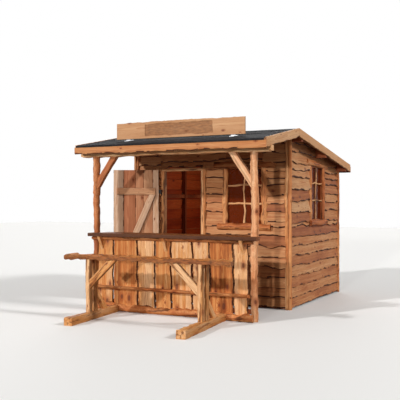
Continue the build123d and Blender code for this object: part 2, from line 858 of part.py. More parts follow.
feet, uprights, braces = [], [], []
for side, foot_front in ((-1, left_foot_front), (1, right_foot_front)):
    x = stand_centre + side * stand_spacing / 2
    foot_head, foot_tail = rail_line - foot_front, board_face
    swing = foot_swing / (foot_tail - foot_head)
    foot = loft(
        [
            foot_section(x + swing * (rail_line - foot_head), foot_head, foot_width, foot_height),
            foot_section(x + swing * (rail_line - foot_tail), foot_tail, foot_tail_width, foot_tail_height),
        ],
        ruled=True,
    )
    foot = one(foot - bottom_rail)
    feet.append(foot)
    for y in (rail_line - upright_spacing / 2, rail_line + upright_spacing / 2):
        upright = block(
            x - upright_width / 2, x + upright_width / 2, y - upright_depth / 2, y + upright_depth / 2,
            0, plank_under,
        )
        uprights.append(one(upright - foot))
    # The knee brace rises from the front upright to the plank, towards the other stand
    knee_y = rail_line - upright_spacing / 2 - stand_brace_depth / 2
    knee_x = x - side * upright_width / 2
    braces.append(
        straight_brace(
            lambda along, up: (along, knee_y, up),
            (knee_x, plank_under - knee_drop), knee_x - side * knee_reach, plank_under,
            stand_brace_width, stand_brace_depth, (0, 1, 0),
        )
    )
    # The strut falls from the rear upright to the foot
    strut_y = rail_line + upright_spacing / 2 + upright_depth / 2
    strut_x = x - swing * (strut_y + strut_reach / 2 - rail_line) - stand_brace_depth / 2
    strut = straight_brace(
        lambda along, up: (strut_x, along, up),
        (strut_y, foot_height + strut_rise), strut_y + strut_reach, 0.0,
        stand_brace_width, stand_brace_depth, (1, 0, 0),
    )
    braces.append(one(strut - foot))
save("rail_feet", *feet)
save("rail_uprights", *uprights)
save("rail_braces", *braces)

# The bare board on the front slope, with a shallow recessed field, on two steel angles
sign_line = post_line + sign_from_posts
felt_top = roof_top(sign_line) + felt
sign_low = felt_top + sign_above_felt
half_sign = sign_length / 2
sign_left, sign_right = sign_centre - half_sign, sign_centre + half_sign
sign_back = sign_line + sign_thickness
sign = front_board(
    sign_left, sign_right, sign_low, sign_low + sign_height, sign_line, sign_back, 0.0, sign_wave, 1.0
)
sign = sign - block(
    sign_left + sign_recess_end, sign_right - sign_recess_end, sign_line - 1, sign_line + sign_recess_depth,
    sign_low + sign_recess_edge, sign_low + sign_height - sign_recess_edge,
)
save("sign_board", one(sign))
angles = []
for side in (-1, 1):
    x = sign_centre + side * (half_sign - bracket_from_end) - bracket_width / 2
    front, rear = sign_line - bracket_foot / 3, sign_back + bracket_foot
    foot = roof_strip(front, rear, felt, felt + bracket_leaf, x, x + bracket_width)
    leaf_low = roof_top(sign_back) + felt + 0.5 * bracket_leaf
    leaf = block(x, x + bracket_width, sign_back, sign_back + bracket_leaf, leaf_low, sign_low + bracket_rise)
    angles.append(one(foot + leaf))
save("sign_brackets", *angles)

os.makedirs("parts", exist_ok=True)
for name, shape in parts.items():
    export_step(shape, f"parts/{name}.step")
print(len(parts), "nodes")
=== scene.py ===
import math
import random

import bmesh
import bpy
from mathutils import Matrix, Vector


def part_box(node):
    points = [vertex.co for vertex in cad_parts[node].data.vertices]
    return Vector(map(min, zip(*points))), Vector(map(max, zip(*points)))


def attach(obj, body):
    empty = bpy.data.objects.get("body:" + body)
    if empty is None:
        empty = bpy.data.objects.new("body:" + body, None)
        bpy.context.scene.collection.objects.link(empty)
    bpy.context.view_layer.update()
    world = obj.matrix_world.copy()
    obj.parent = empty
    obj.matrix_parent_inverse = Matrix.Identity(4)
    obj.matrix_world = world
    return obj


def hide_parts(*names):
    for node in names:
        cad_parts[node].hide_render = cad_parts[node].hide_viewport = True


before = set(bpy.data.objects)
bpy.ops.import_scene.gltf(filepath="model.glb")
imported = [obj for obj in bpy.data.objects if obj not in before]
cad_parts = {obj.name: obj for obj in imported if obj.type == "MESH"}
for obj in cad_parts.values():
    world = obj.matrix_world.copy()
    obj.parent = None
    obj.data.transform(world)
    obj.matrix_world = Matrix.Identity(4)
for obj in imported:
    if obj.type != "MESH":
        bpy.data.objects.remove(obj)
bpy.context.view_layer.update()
scene = bpy.context.scene
dice = random.Random(11)
up, down, forward, backward = (0, 0, 1), (0, 0, -1), (0, -1, 0), (0, 1, 0)
ground = 0.001  # where the timbers that stand on the ground are sawn

# The hut's own lines, read from the solid frame
postLine = sum(corner.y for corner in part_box("header_beam")) / 2
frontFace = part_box("front_wall_right")[0].y
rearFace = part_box("rear_wall")[1].y
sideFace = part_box("right_wall")[1].x
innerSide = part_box("rear_wall")[1].x
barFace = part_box("bar_boards")[0].y
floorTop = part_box("floor_boards")[1].z
doorLeft, doorRight = (corner.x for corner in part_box("door_jambs"))
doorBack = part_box("door_jambs")[1].y
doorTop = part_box("door_head")[1].z
roofLow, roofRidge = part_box("roof_boards_front")
rearLow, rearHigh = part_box("roof_boards_rear")
roofBoard = 0.020
frontSlope = (roofRidge.z - roofLow.z - roofBoard) / (roofRidge.y - roofLow.y)
rearSlope = (roofRidge.z - rearLow.z - roofBoard) / (rearHigh.y - roofRidge.y)


def roofTop(y):  # the roof boards' upper face
    run = y - roofRidge.y
    return roofRidge.z - run * (rearSlope if run > 0 else -frontSlope)


class Look(dict):  # what a user may change: a dictionary whose values are also read as look.name
    __getattr__ = dict.__getitem__


def feed(node, values):  # numbers, colours or wires into a node's sockets
    for name, value in values.items():
        if isinstance(value, Wire):
            value.tree.links.new(value.socket, node.inputs[name])
        else:
            node.inputs[name].default_value = value


# Shader maths: a socket that can be added, multiplied and so on, each adding its Math node
class Wire:
    def __init__(self, tree, socket=None):
        self.tree = tree
        self.socket = socket

    def node(self, kind, settings={}, inputs={}, output=0):  # any other node: its settings first, then its sockets
        made = self.tree.nodes.new("ShaderNode" + kind)
        for name, value in settings.items():
            if name == "stops":
                while len(made.color_ramp.elements) < len(value):
                    made.color_ramp.elements.new(0.5)
                for stop, (position, colour) in zip(made.color_ramp.elements, value):
                    stop.position = position
                    stop.color = colour
            else:
                setattr(made, name, value)
        feed(made, inputs)
        return Wire(self.tree, made.outputs[output])

    def also(self, output):  # another output of the same node
        return Wire(self.tree, self.socket.node.outputs[output])

    def maths(self, operation, first, second=0.0):
        return self.node("Math", {"operation": operation}, {0: first, 1: second})

    def __add__(self, other):
        return self.maths("ADD", self, other)

    def __sub__(self, other):
        return self.maths("SUBTRACT", self, other)

    def __rsub__(self, other):
        return self.maths("SUBTRACT", other, self)

    def __mul__(self, other):
        return self.maths("MULTIPLY", self, other)

    def __truediv__(self, other):
        return self.maths("DIVIDE", self, other)

    __radd__, __rmul__ = __add__, __mul__


def tint(digits):  # a colour as a screen shows it, in hexadecimal
    parts = [int(digits[i:i + 2], 16) / 255 for i in (0, 2, 4)]
    return tuple(c / 12.92 if c < 0.04045 else ((c + 0.055) / 1.055) ** 2.4 for c in parts) + (1,)


def blend(factor, under, over, how="MIX"):
    settings = {"data_type": "RGBA", "blend_type": how}
    return factor.node("Mix", settings, {0: factor, 6: under, 7: over}, 2)


def ramp(value, *stops):
    return value.node("ValToRGB", {"stops": stops}, {0: value})


def between(value, low, high):  # 0 up to low, 1 from high on, smooth between them
    settings = {"interpolation_type": "SMOOTHSTEP"}
    return value.node("MapRange", settings, {"Value": value, "From Min": low, "From Max": high})


def stretch(place, scale):
    return place.node("VectorMath", {"operation": "MULTIPLY"}, {0: place, 1: scale})


def noise(place, scale, detail=2.0, roughness=0.5):
    scaled = stretch(place, scale if isinstance(scale, tuple) else (scale,) * 3)
    return place.node("TexNoise", {}, {"Vector": scaled, "Scale": 1, "Detail": detail, "Roughness": roughness})


def relieved(height, strength, distance):
    return height.node("Bump", {}, {"Strength": strength, "Distance": distance, "Height": height})


def newMaterial(name):
    material = bpy.data.materials.new(name)
    material.use_nodes = True
    return material, Wire(material.node_tree), material.node_tree.nodes["Principled BSDF"]


# Camera, at the photograph's place: a level camera to the right of the hut, at eye height
cameraPlace = Look(
    besideCentre=4.932,  # metres to the right of the hut's middle
    beforePosts=8.492,  # metres in front of the line of the posts
    height=1.583,
    turn=27.8,  # degrees from the hut's own axis
    lens=63.96,
    sensor=36,
)


def placeCamera():
    c = cameraPlace
    place = (c.besideCentre, postLine - c.beforePosts, c.height)
    bpy.ops.object.camera_add(location=place, rotation=(math.radians(90), 0, math.radians(c.turn)))
    scene.camera = bpy.context.object
    scene.camera.data.sensor_width = c.sensor
    scene.camera.data.lens = c.lens
    scene.camera.data.clip_end = 200


# Stage: a pale floor, a white surround and plain light
stageLook = Look(
    floorSize=60,
    floorColour=(0.84, 0.83, 0.81, 1),
    bounceColour=(0.16, 0.13, 0.11, 1),  # what the floor throws back onto the hut
    skyStrength=0.34,
    # Each lamp: strength, degrees across, which softens its shadows, and where it shines from
    lamps=((2.2, 2, (-3.4, -6.4, 3.0)), (1.3, 2, (0.95, -8.0, 1.1)), (1.8, 9, (7.0, 0.1, 4.2)),
           (0.9, 30, (-3.0, 6.0, 1.6))),
    roomLamp=(23, 0.3, (0.25, 0.1, 1.6)),  # watts, radius and place
)


def seen(start):  # 1 for what the camera sees, straight, mirrored or through glass
    rays = start.node("LightPath", output="Is Camera Ray")
    straight = rays.maths("MAXIMUM", rays, rays.also("Is Glossy Ray"))
    return rays.maths("MAXIMUM", straight, rays.also("Is Transmission Ray"))


def placeStage():
    s = stageLook
    bpy.ops.mesh.primitive_plane_add(size=s.floorSize)
    floor = bpy.context.object
    floor.name = "floor"
    paint, start, surface = newMaterial("paleFloor")
    feed(surface, {"Base Color": blend(seen(start), s.bounceColour, s.floorColour), "Roughness": 0.9})
    floor.data.materials.append(paint)

    scene.world = bpy.data.worlds.new("surround")
    scene.world.use_nodes = True
    tree = scene.world.node_tree
    sky = tree.nodes["Background"]
    feed(sky, {"Color": (1, 1, 1, 1), "Strength": s.skyStrength})
    light = Wire(tree, sky.outputs[0])
    white = light.node("Background", {}, {"Color": (1, 1, 1, 1), "Strength": 1})
    mixed = light.node("MixShader", {}, {0: seen(light), 1: light, 2: white})
    feed(tree.nodes["World Output"], {"Surface": mixed})

    for strength, across, place in s.lamps:
        turn = Vector(place).to_track_quat("Z", "Y").to_euler()
        bpy.ops.object.light_add(type="SUN", location=place, rotation=turn)
        bpy.context.object.data.energy = strength
        bpy.context.object.data.angle = math.radians(across)
    watts, radius, place = s.roomLamp
    bpy.ops.object.light_add(type="POINT", radius=radius, location=place)
    bpy.context.object.data.energy = watts


placeCamera()
placeStage()
scene.view_settings.view_transform = "Standard"
print("stage set")


# Wood: growth rings, knots, fibres, streaks and darker live edges.
# A board carries its own grain (along, across, deep), tone and edge marks as attributes.
woodLook = Look(
    streaks=0.55,  # how far a streak shifts the tone
    patches=0.45,
    ringSpacing=0.0065,
    ringDrift=0.035,
    rings=0.42,
    fibres=0.30,
    knotCell=(0.30, 0.15),  # at most one knot in each such piece of the face
    knotShare=0.45,
    knotSize=0.075,
    edgeDark="482614",
    edgeLight="965c32",
    bark=0.75,
    roughness=0.62,
    gloss=0.2,
    relief=0.0016,
    inside="ffffff",  # how the back of a board is tinted
    remains=0.0,  # how dark the streaks of bark are that peeling left
    remainsFrom=0.57,
    axes=(),  # a CAD node's axes, in the order along, across and deep
)
# Darker bark colours for live edges: the bark itself, darkened further as painted shade in the lines at laps, gaps and
# board edges
barkAndShadeSkin = Look(edgeDark="38190a", edgeLight="643519")
peeled = Look(streaks=0.95, patches=0.9, ringDrift=0.05, knotShare=0.6, remainsFrom=0.55)
barShades, innerShades = "e4b888 d69a5c bc7236 884820", "b0683e 9c542e 844020 642e18"
woods = {  # each with its shades from pale to dark, and where it differs from woodLook
    # The walls' live edges take the darkest bark colours: bark, and painted shadow under each lap
    "wallTimber": Look(shades="cea074 c48c5c b27244 945632", inside="e88e58", bark=1.0, knotShare=0.3, streaks=1.0,
                       patches=0.7, fibres=0.8, edgeDark="321609", edgeLight="502812"),
    "trimTimber": Look(shades="deac7a d0925c b66c3a 884422", bark=0.5, remains=0.8, **barkAndShadeSkin, **peeled),
    "doorTimber": Look(shades="d6b496 ca9a72 b87650 985a38", bark=0.9, **barkAndShadeSkin),
    "barTimber": Look(shades=barShades, bark=1.0, streaks=1.35, patches=0.9, knotShare=0.7, knotSize=0.12, rings=0.6,
                      fibres=1.0, **barkAndShadeSkin),
    "counterTimber": Look(shades="865028 6e3c1c 582c12 3e1c0a", edgeDark="22120a", edgeLight="482818", roughness=0.6,
                          gloss=0.15),
    "poleTimber": Look(shades="e4b88e d49668 bc7444 964e2c", rings=0.3, remains=0.5, **peeled),
    # Paler shades than the other timbers: painted light, lifting the header out of the fascia's shade
    "headerTimberPaintedLight": Look(shades="f0c694 e2ac76 cc8a56 9c5c34", bark=0.9, streaks=0.9, patches=0.7, **barkAndShadeSkin),
    # Its inside tint darkens the boards' backs: painted shade under the roof
    "roofTimber": Look(shades="d6ac82 ca9462 b47646 8c522a", inside="8c6048", bark=1.0, **barkAndShadeSkin),
    "signTimber": Look(shades="d0a87e c4966c b28056 94623e", bark=0.9, edgeDark="542e16", edgeLight="966036"),
    "railTimber": Look(shades=barShades, bark=0.9, streaks=1.2, patches=1.0, remains=0.85, remainsFrom=0.53,
                       fibres=0.9, edgeDark="3a1a08", edgeLight="925426"),
    # The inner framing and floor take darker, redder shades: painted shade of the dim room
    "shadedInnerTimber": Look(shades=innerShades),
    "shadedInnerTimberX": Look(shades=innerShades, axes=(0, 1, 2)),
    "shadedInnerTimberZ": Look(shades=innerShades, axes=(2, 0, 1)),
}


def woodFinish(name, changes):
    look = Look({**woodLook, **changes})
    material, start, surface = newMaterial(name)
    if look.axes:
        place = start.node("TexCoord", output="Object")
        split = place.node("SeparateXYZ", {}, {0: place})
        place = split.node("CombineXYZ", {}, {i: split.also(axis) for i, axis in enumerate(look.axes)})
        tone = noise(place, (0.4, 3.1, 3.1), 0.0) * 1.2 - 0.1
        bark = None
    else:
        place = start.node("Attribute", {"attribute_name": "grain"}, {}, "Vector")
        tone, bark = [start.node("Attribute", {"attribute_name": mark}, {}, "Fac") for mark in ("tone", "bark")]

    # Knots lie in cells of the board's face, and the rings swirl round them
    cells = stretch(place, (1 / look.knotCell[0], 1 / look.knotCell[1], 0))
    centre = cells.node("TexVoronoi", {"voronoi_dimensions": "2D"}, {"Vector": cells, "Scale": 1, "Randomness": 0.8})
    luck = centre.node("SeparateColor", {}, {0: centre.also("Color")})
    present = luck.maths("LESS_THAN", luck, look.knotShare)
    size = look.knotSize * (0.35 + luck.also("Green") * 1.3)
    away = (centre + (noise(place, 30, 1) - 0.5) * 0.06) / size + (1 - present) * 20
    heart = 1 - between(away, 0.55, 0.95)
    halo = 1 - between(away, 0.9, 2.2)
    swirl = 1 - between(away, 0.3, 4.5)

    # Rings, seen on a sawn face as long flames
    flat = stretch(place, (0, 1, 1))
    radius = flat.node("VectorMath", {"operation": "LENGTH"}, {0: flat}, "Value")
    drift = noise(place, (1.3, 3, 3)) - 0.5
    wobble = noise(place, (9, 25, 25), 1) - 0.5
    turns = (radius + drift * look.ringDrift + wobble * 0.004 + swirl * 0.022) / look.ringSpacing
    step = turns.maths("FRACT", turns)
    late = between(step, 0.25, 0.9) * (1 - between(step, 0.93, 1.0))

    fibre = noise(place, (7, 230, 230), 3, 0.6)
    streak = noise(place, (0.8, 24, 24)) - 0.5
    patch = noise(place, (2.2, 5, 5), 3) - 0.5
    shade = tone + streak * look.streaks + patch * look.patches
    colour = ramp(shade, *((i / 3, tint(digits)) for i, digits in enumerate(look.shades.split())))
    colour = blend(late * look.rings, colour, tint("c48c68"), "MULTIPLY")
    colour = blend(between(fibre, 0.5, 0.75) * look.fibres, colour, tint("a07054"), "MULTIPLY")
    colour = blend(halo * 0.55, colour, tint("b06c46"), "MULTIPLY")
    colour = blend(heart * 0.8, colour, tint("5c2c16"))
    relief = late * 0.35 + fibre * 0.5 + heart * 0.5
    if bark:
        flake = noise(place, (14, 70, 70), 3, 0.65)
        skin = ramp(flake, (0.35, tint(look.edgeDark)), (0.65, tint(look.edgeLight)))
        left = between(noise(place, (2.2, 24, 24), 3, 0.6), look.remainsFrom, look.remainsFrom + 0.07) * look.remains
        # Live edges take the bark colours; their darkness is partly painted shade at laps, gaps and board edges
        colour = blend(left.maths("MAXIMUM", left, bark * look.bark), colour, skin)
        # Board backs are multiplied by the inside tint; on the roof timbers this is painted shade
        colour = blend(bark.maths("LESS_THAN", bark, -0.5), colour, tint(look.inside), "MULTIPLY")
        relief = relief + flake * bark * 2.5
    rough = look.roughness + (fibre - 0.5) * 0.2 - heart * 0.1
    feed(surface, {"Base Color": colour, "Roughness": rough, "Normal": relieved(relief, 0.7, look.relief)})
    feed(surface, {"Specular IOR Level": look.gloss})
    return material


# Felt: bitumen with slate grit. Iron, zinc and glass
def feltFinish():
    material, start, surface = newMaterial("roofingFelt")
    place = start.node("TexCoord", output="Object")
    grit = place.node("TexVoronoi", {}, {"Vector": place, "Scale": 420})
    dust = noise(place, 3, 4)
    shade = grit * 0.9 + (dust - 0.5) * 0.5
    colour = ramp(shade, (0.0, tint("0e0e10")), (0.55, tint("1e1d1f")), (1.0, tint("46464a")))
    feed(surface, {"Base Color": colour, "Roughness": 0.92 - dust * 0.12, "Normal": relieved(grit, 0.5, 0.0012)})
    feed(surface, {"Specular IOR Level": 0.12})
    return material


def metalFinish(name, dark, light, metallic, roughness):
    material, start, surface = newMaterial(name)
    place = start.node("TexCoord", output="Object")
    wear = noise(place, 38, 4, 0.6)
    bump = relieved(noise(place, 160, 2) + wear, 0.4, 0.0008)
    feed(surface, {"Base Color": ramp(wear, (0.35, tint(dark)), (0.7, tint(light))), "Metallic": metallic})
    feed(surface, {"Roughness": roughness + (wear - 0.5) * 0.3, "Normal": bump})
    return material


def glassFinish():
    material, start, surface = newMaterial("windowGlass")
    place = start.node("TexCoord", output="Object")
    smear = noise(place, 9, 3)
    # The nearly opaque pane is coloured the dark reddish brown of the room behind it: painted shade
    feed(surface, {"Base Color": tint("60240c"), "Alpha": 0.86 + (smear - 0.5) * 0.15, "IOR": 1.45})
    feed(surface, {"Roughness": 0.02 + smear * 0.06, "Normal": relieved(noise(place, (5, 5, 2.2), 1), 0.25, 0.01)})
    feed(surface, {"Specular IOR Level": 0.03})
    return material


finishes = {name: woodFinish(name, changes) for name, changes in woods.items()}
finishes["roofingFelt"] = feltFinish()
finishes["blackIron"] = metalFinish("blackIron", "161618", "3a3634", 0.6, 0.5)
finishes["whiteZinc"] = metalFinish("whiteZinc", "c4c8ce", "e8eaec", 0.35, 0.42)
finishes["windowGlass"] = glassFinish()
print("finishes made")


# Workshop: ways of making a timber
waves = {}
for name, size, depth in (("long", 0.55, 0), ("edge", 0.19, 1), ("nick", 0.055, 1), ("lump", 0.11, 1)):
    waves[name] = bpy.data.textures.new(name + "Wave", "CLOUDS")
    waves[name].noise_scale = size
    waves[name].noise_depth = depth


def leaveOnly(pieces):
    bpy.ops.object.select_all(action="DESELECT")
    for piece in pieces:
        piece.select_set(True)
    bpy.context.view_layer.objects.active = pieces[0]


def switchTo(mode):
    bpy.ops.object.mode_set(mode=mode)


def settle(placeToo=True):  # a piece's size, place and turn go into its mesh
    bpy.ops.object.transform_apply(location=placeToo, rotation=placeToo, scale=True)


def pick(kind, passes):  # in edit mode, selects the points, edges or faces that pass
    bpy.ops.mesh.select_mode(type=kind)
    shape = bmesh.from_edit_mesh(bpy.context.object.data)
    for item in [*shape.verts, *shape.edges, *shape.faces]:
        item.select_set(False)
    for item in getattr(shape, kind.lower() + "s"):
        if passes(item):
            item.select_set(True)
    bmesh.update_edit_mesh(bpy.context.object.data)


def cutAll(point, normal, clear=True):  # in edit mode, cuts by a plane, and clears and closes what is outside it
    bpy.ops.mesh.select_all(action="SELECT")
    bpy.ops.mesh.bisect(plane_co=point, plane_no=normal, use_fill=clear, clear_outer=clear)


def span(edge, axis):
    return abs(edge.verts[0].co[axis] - edge.verts[1].co[axis])


def every(place):
    return 1


def waver(piece, *moves):  # each move takes points, as far as they weigh, to and fro by a cloudy wave
    for weigh, direction, amount, wave in moves:
        if amount:
            group = piece.vertex_groups.new(name="moved")
            for point in piece.data.vertices:
                group.add([point.index], float(weigh(point.co)), "REPLACE")
            change = piece.modifiers.new("waver", "DISPLACE")
            change.texture = waves[wave]
            change.texture_coords = "GLOBAL"
            change.direction = direction
            change.strength = amount * 3.4
            change.vertex_group = group.name
    while piece.modifiers:
        bpy.ops.object.modifier_apply(modifier=piece.modifiers[0].name)
    piece.vertex_groups.clear()


def marked(piece, tone, barkOf, pole=False):  # grain, tone and bark for the wood's finish
    mesh = piece.data
    far = dice.uniform(-40, 40)
    if pole:
        axes, heart = (2, 0, 1), (dice.uniform(-0.01, 0.01), dice.uniform(-0.01, 0.01))
    else:
        axes, heart = (0, 1, 2), (dice.uniform(-0.06, 0.06), dice.uniform(0.02, 0.09))
    grain = [point.co[axis] + shift for point in mesh.vertices for axis, shift in zip(axes, (far, *heart))]
    bark = [float(barkOf(face)) for face in mesh.polygons]
    for name, sort, place, kind, values in (
        ("grain", "FLOAT_VECTOR", "POINT", "vector", grain),
        ("tone", "FLOAT", "POINT", "value", [tone] * len(mesh.vertices)),
        ("bark", "FLOAT", "FACE", "value", bark),
    ):
        mesh.attributes.new(name, sort, place)
        mesh.attributes[name].data.foreach_set(kind, values)


def lineUp(start, end, facing):  # its ends, its direction, and the facing square to that
    start, end, facing = Vector(start), Vector(end), Vector(facing)
    along = (end - start).normalized()
    return start, end, along, (facing - along * facing.dot(along)).normalized()


def turned(*axes):
    return Matrix(axes).transposed().to_euler()


def liveBoard(start, end, width, thick, facing, tone=0.5, low=0.0, high=0.0, wane=0.0, step=0.045, bark=1.0,
              rough=0.0, tail=1.0):
    # A sawn board. low and high are the waves of its long edges, wane is how wide those edges slant, and rough is
    # how far they rise and fall. tail is the size of its end against its start.
    start, end, along, out = lineUp(start, end, facing)
    if out.cross(along).z < -0.01:  # the low edge is the lower one
        start, end, along = end, start, -along
    length = (end - start).length
    turn = turned(along, out.cross(along), out)
    size = (length, width, thick)
    bpy.ops.mesh.primitive_cube_add(size=1, location=(start + end) / 2, rotation=turn, scale=size)
    settle(False)
    piece = bpy.context.object
    live = {side: amount for side, amount in ((-1, low), (1, high)) if amount}

    def isLive(place):
        return (place.y > 0) - (place.y < 0) in live

    switchTo("EDIT")
    if tail != 1:
        pick("VERT", lambda v: v.co.x > 0)
        middle = end - out * thick / 2
        bpy.ops.transform.resize(value=(1, tail, tail), orient_type="LOCAL", center_override=middle)
    pick("EDGE", lambda e: span(e, 0) > length / 2 and (not wane or e.verts[0].co.z > 0 and isLive(e.verts[0].co)))
    if wane:
        bpy.ops.mesh.bevel(offset=wane, segments=2, profile=0.6, affect="EDGES")
    else:
        bpy.ops.mesh.bevel(offset=min(0.002, thick / 5), segments=1, affect="EDGES")
    pick("EDGE", lambda e: span(e, 0) > length / 2)
    bpy.ops.mesh.subdivide(number_cuts=max(2, round(length / step)))
    switchTo("OBJECT")
    edge = width / 2 * min(1, tail) - wane - 0.004
    for side, amount in live.items():
        def outer(place):
            return place.y * side > edge

        waver(piece, (outer, "Y", amount, "edge"), (outer, "Y", amount * 0.5, "long"),
              (outer, "Y", min(0.001, amount * 0.2), "nick"), (outer, "Z", rough, "lump"),
              (outer, "Z", rough * 0.6, "nick"))
        waver(piece, (lambda place: outer(place) and place.z > thick / 2 - wane / 3, "Y", wane * 0.15, "lump"))
    marked(piece, tone, lambda f: -1 if f.normal.z < -0.9 else bark * (abs(f.normal.y) > 0.28 and isLive(f.normal)))
    settle()
    return piece


def peeledPole(start, end, width, depth, facing, tone, half=False, bend=0.006, lumps=0.004, step=0.04, sides=18,
               taper=1.0):
    # A peeled pole from start to end. A half one has its flat back on the line from start to end.
    start, end, along, out = lineUp(start, end, facing)
    length = (end - start).length
    turn = turned(out.cross(along), out, along)
    bpy.ops.mesh.primitive_cone_add(
        vertices=sides, radius1=0.5, radius2=0.5 * taper, depth=1, location=(start + end) / 2, rotation=turn,
        scale=(width, depth * 2 if half else depth, length),
    )
    settle(False)
    piece = bpy.context.object
    switchTo("EDIT")
    if half:
        cutAll((start + end) / 2, -out)
    pick("EDGE", lambda e: span(e, 2) > length / 2)
    bpy.ops.mesh.subdivide(number_cuts=max(3, round(length / step)))
    switchTo("OBJECT")
    waver(piece, (every, "X", bend, "edge" if bend > 0.01 else "long"))
    if half:
        waver(piece, (lambda place: min(1, max(0, place.y / (depth * 0.4))), "NORMAL", lumps, "lump"),
              (lambda place: min(1, abs(place.x) / (width * 0.3)), "X", lumps, "lump"))
    else:
        waver(piece, (every, "Y", bend * 0.7, "long"), (every, "NORMAL", lumps, "lump"),
              (every, "NORMAL", lumps * 0.5, "nick"))
    marked(piece, tone, lambda f: 0, True)
    settle()
    return piece


def sawOff(piece, outward, x=0, y=0, z=0):
    leaveOnly([piece])
    switchTo("EDIT")
    cutAll((x, y, z), outward)
    switchTo("OBJECT")


def sawUnderRoof(piece):
    for slope in (-frontSlope, rearSlope):
        sawOff(piece, (0, slope, 1), y=roofRidge.y, z=roofRidge.z - roofBoard)


def brace(place, corner, farEnd, level, width, depth, facing, tone):
    # A flattened split pole whose inner edge runs from corner to (farEnd, level).
    # place turns such a point (along, up) into one of the model.
    run, rise = farEnd - corner[0], level - corner[1]
    length = math.hypot(run, rise)
    aside = -math.copysign(rise, run) * width / 2 / length
    upward = math.copysign(run, rise) * width / 2 / length
    over = 0.07 / length
    start = place(corner[0] - run * over + aside, corner[1] - rise * over + upward)
    end = place(farEnd + run * over + aside, level + rise * over + upward)
    return liveBoard(start, end, width, depth, facing, tone, low=0.004, high=0.004, wane=0.013, bark=0.25, step=0.03)


# A nail or bolt head: a low dome, made once and copied
def headPattern():
    bpy.ops.mesh.primitive_cylinder_add(vertices=8, radius=1, depth=0.5, location=(0, 0, 0.2))
    switchTo("EDIT")
    pick("FACE", lambda f: f.normal.z > 0.9)
    bpy.ops.mesh.inset(thickness=0.35)
    bpy.ops.transform.translate(value=(0, 0, 0.18))
    switchTo("OBJECT")
    settle()
    piece = bpy.context.object
    piece.data.materials.append(finishes["blackIron"])
    piece.hide_render = True
    return piece


nailHead = headPattern()


def nailed(place, facing, radius=0.0032):
    copy = nailHead.copy()
    copy.data = nailHead.data.copy()
    copy.hide_render = False
    turn = Vector(facing).to_track_quat("Z", "Y").to_matrix().to_4x4()
    copy.data.transform(Matrix.Translation(Vector(place)) @ turn @ Matrix.Scale(radius, 4))
    scene.collection.objects.link(copy)
    return copy


def assembled(name, finish, pieces, *nodes, body="hut", like=None):
    # Pieces joined into one, which replaces CAD nodes. The like argument is not used.
    for piece in pieces:
        if not piece.data.materials:
            piece.data.materials.append(finishes[finish])
    leaveOnly(pieces)
    bpy.ops.object.join()
    whole = bpy.context.object
    whole.name = name
    bpy.ops.object.shade_smooth_by_angle(angle=math.radians(38))
    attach(whole, body)
    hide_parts(*nodes)
    return whole


# Walls: lapped live-edge boards. Each row is (height of its lower edge, tone), from the top down
cladding = Look(
    thick=0.020,
    lap=0.030,
    bottomOut=0.030,  # how far a board's foot stands off the wall's face
    topIn=0.006,
    wave=0.014,
    wane=0.018,
    tilt=0.010,
    nailIn=0.045,  # a nail's distance from a board's end
    nailUp=0.05,
    foot=0.002,
    top=2.60,  # the boards' upper end, before they are sawn under the roof
    holeHalf=0.299,
    holeHeights=(1.211, 2.074),
    holeMiddles=(0.592, 0.060),  # front, side
    sideLift=0.044,
)
rowsBelow = ((1.178, 0.3), (1.035, 0.85), (0.912, 0.5), (0.76, 0.35), (0.61, 0.8), (0.46, 0.45), (0.315, 0.7),
             (0.165, 0.4), (0.02, 0.6))
rowsNear = ((2.40, 0.35), (2.28, 0.5), (2.131, 0.3), (2.028, 0.15), (1.916, 0.4), (1.739, 0.2), (1.561, 0.75),
            (1.398, 0.1), (1.240, 0.8))
rowsFar = ((2.12, 0.5), (2.019, 0.3), (1.918, 0.65), (1.818, 0.85), (1.667, 0.6), (1.541, 0.35), (1.407, 0.7),
           (1.240, 0.45))
rowsFront = ((2.42, 0.4), (2.29, 0.6), (2.17, 0.5), (2.038, 0.45), (1.917, 0.4), (1.765, 0.55), (1.666, 0.5),
             (1.538, 0.65), (1.401, 0.55), (1.190, 0.6))
rowsCorner = ((2.40, 0.5), (2.27, 0.4), (2.119, 0.3), (2.003, 0.4), (1.901, 0.6), (1.786, 0.35), (1.641, 0.5),
              (1.525, 0.45), (1.409, 0.9), (1.265, 0.5), (1.190, 0.4))
rowsUnder = ((1.062, 0.55), (0.903, 0.8), (0.744, 0.5), (0.60, 0.45), (0.45, 0.65), (0.31, 0.4), (0.165, 0.55),
             (0.02, 0.5))
rowsRear = ((2.12, 0.4), (1.97, 0.6), (1.84, 0.3), (1.69, 0.5), (1.56, 0.8), (1.42, 0.4), (1.27, 0.6), (1.13, 0.3),
            (0.98, 0.7), (0.84, 0.5), (0.70, 0.4), (0.56, 0.85), (0.42, 0.4), (0.28, 0.6), (0.15, 0.35), (0.02, 0.6))
wallPlaces = {  # a point of each wall: how far along it, how high, and how far out
    "front": lambda s, z, out: Vector((s, frontFace - out, z)),
    "right": lambda s, z, out: Vector((sideFace + out, s, z)),
    "left": lambda s, z, out: Vector((-sideFace - out, s, z)),
    "rear": lambda s, z, out: Vector((s, rearFace + out, z)),
}


def outOf(at):
    return at(0, 0, 1) - at(0, 0, 0)


def lapBoard(at, s0, s1, low, high, tone):
    c = cladding
    out = (c.bottomOut - c.topIn - c.thick) / 2
    tilt = dice.uniform(-1, 1) * c.tilt * min(1, abs(s1 - s0))
    middle = (low + high) / 2
    facing = outOf(at) * (high - low) + Vector((0, 0, c.bottomOut + c.topIn))
    return liveBoard(
        at(s0, middle - tilt, out), at(s1, middle + tilt, out), high - low, c.thick, facing,
        tone + dice.uniform(-0.08, 0.08), low=c.wave * dice.uniform(0.6, 1.5), wane=c.wane,
    )


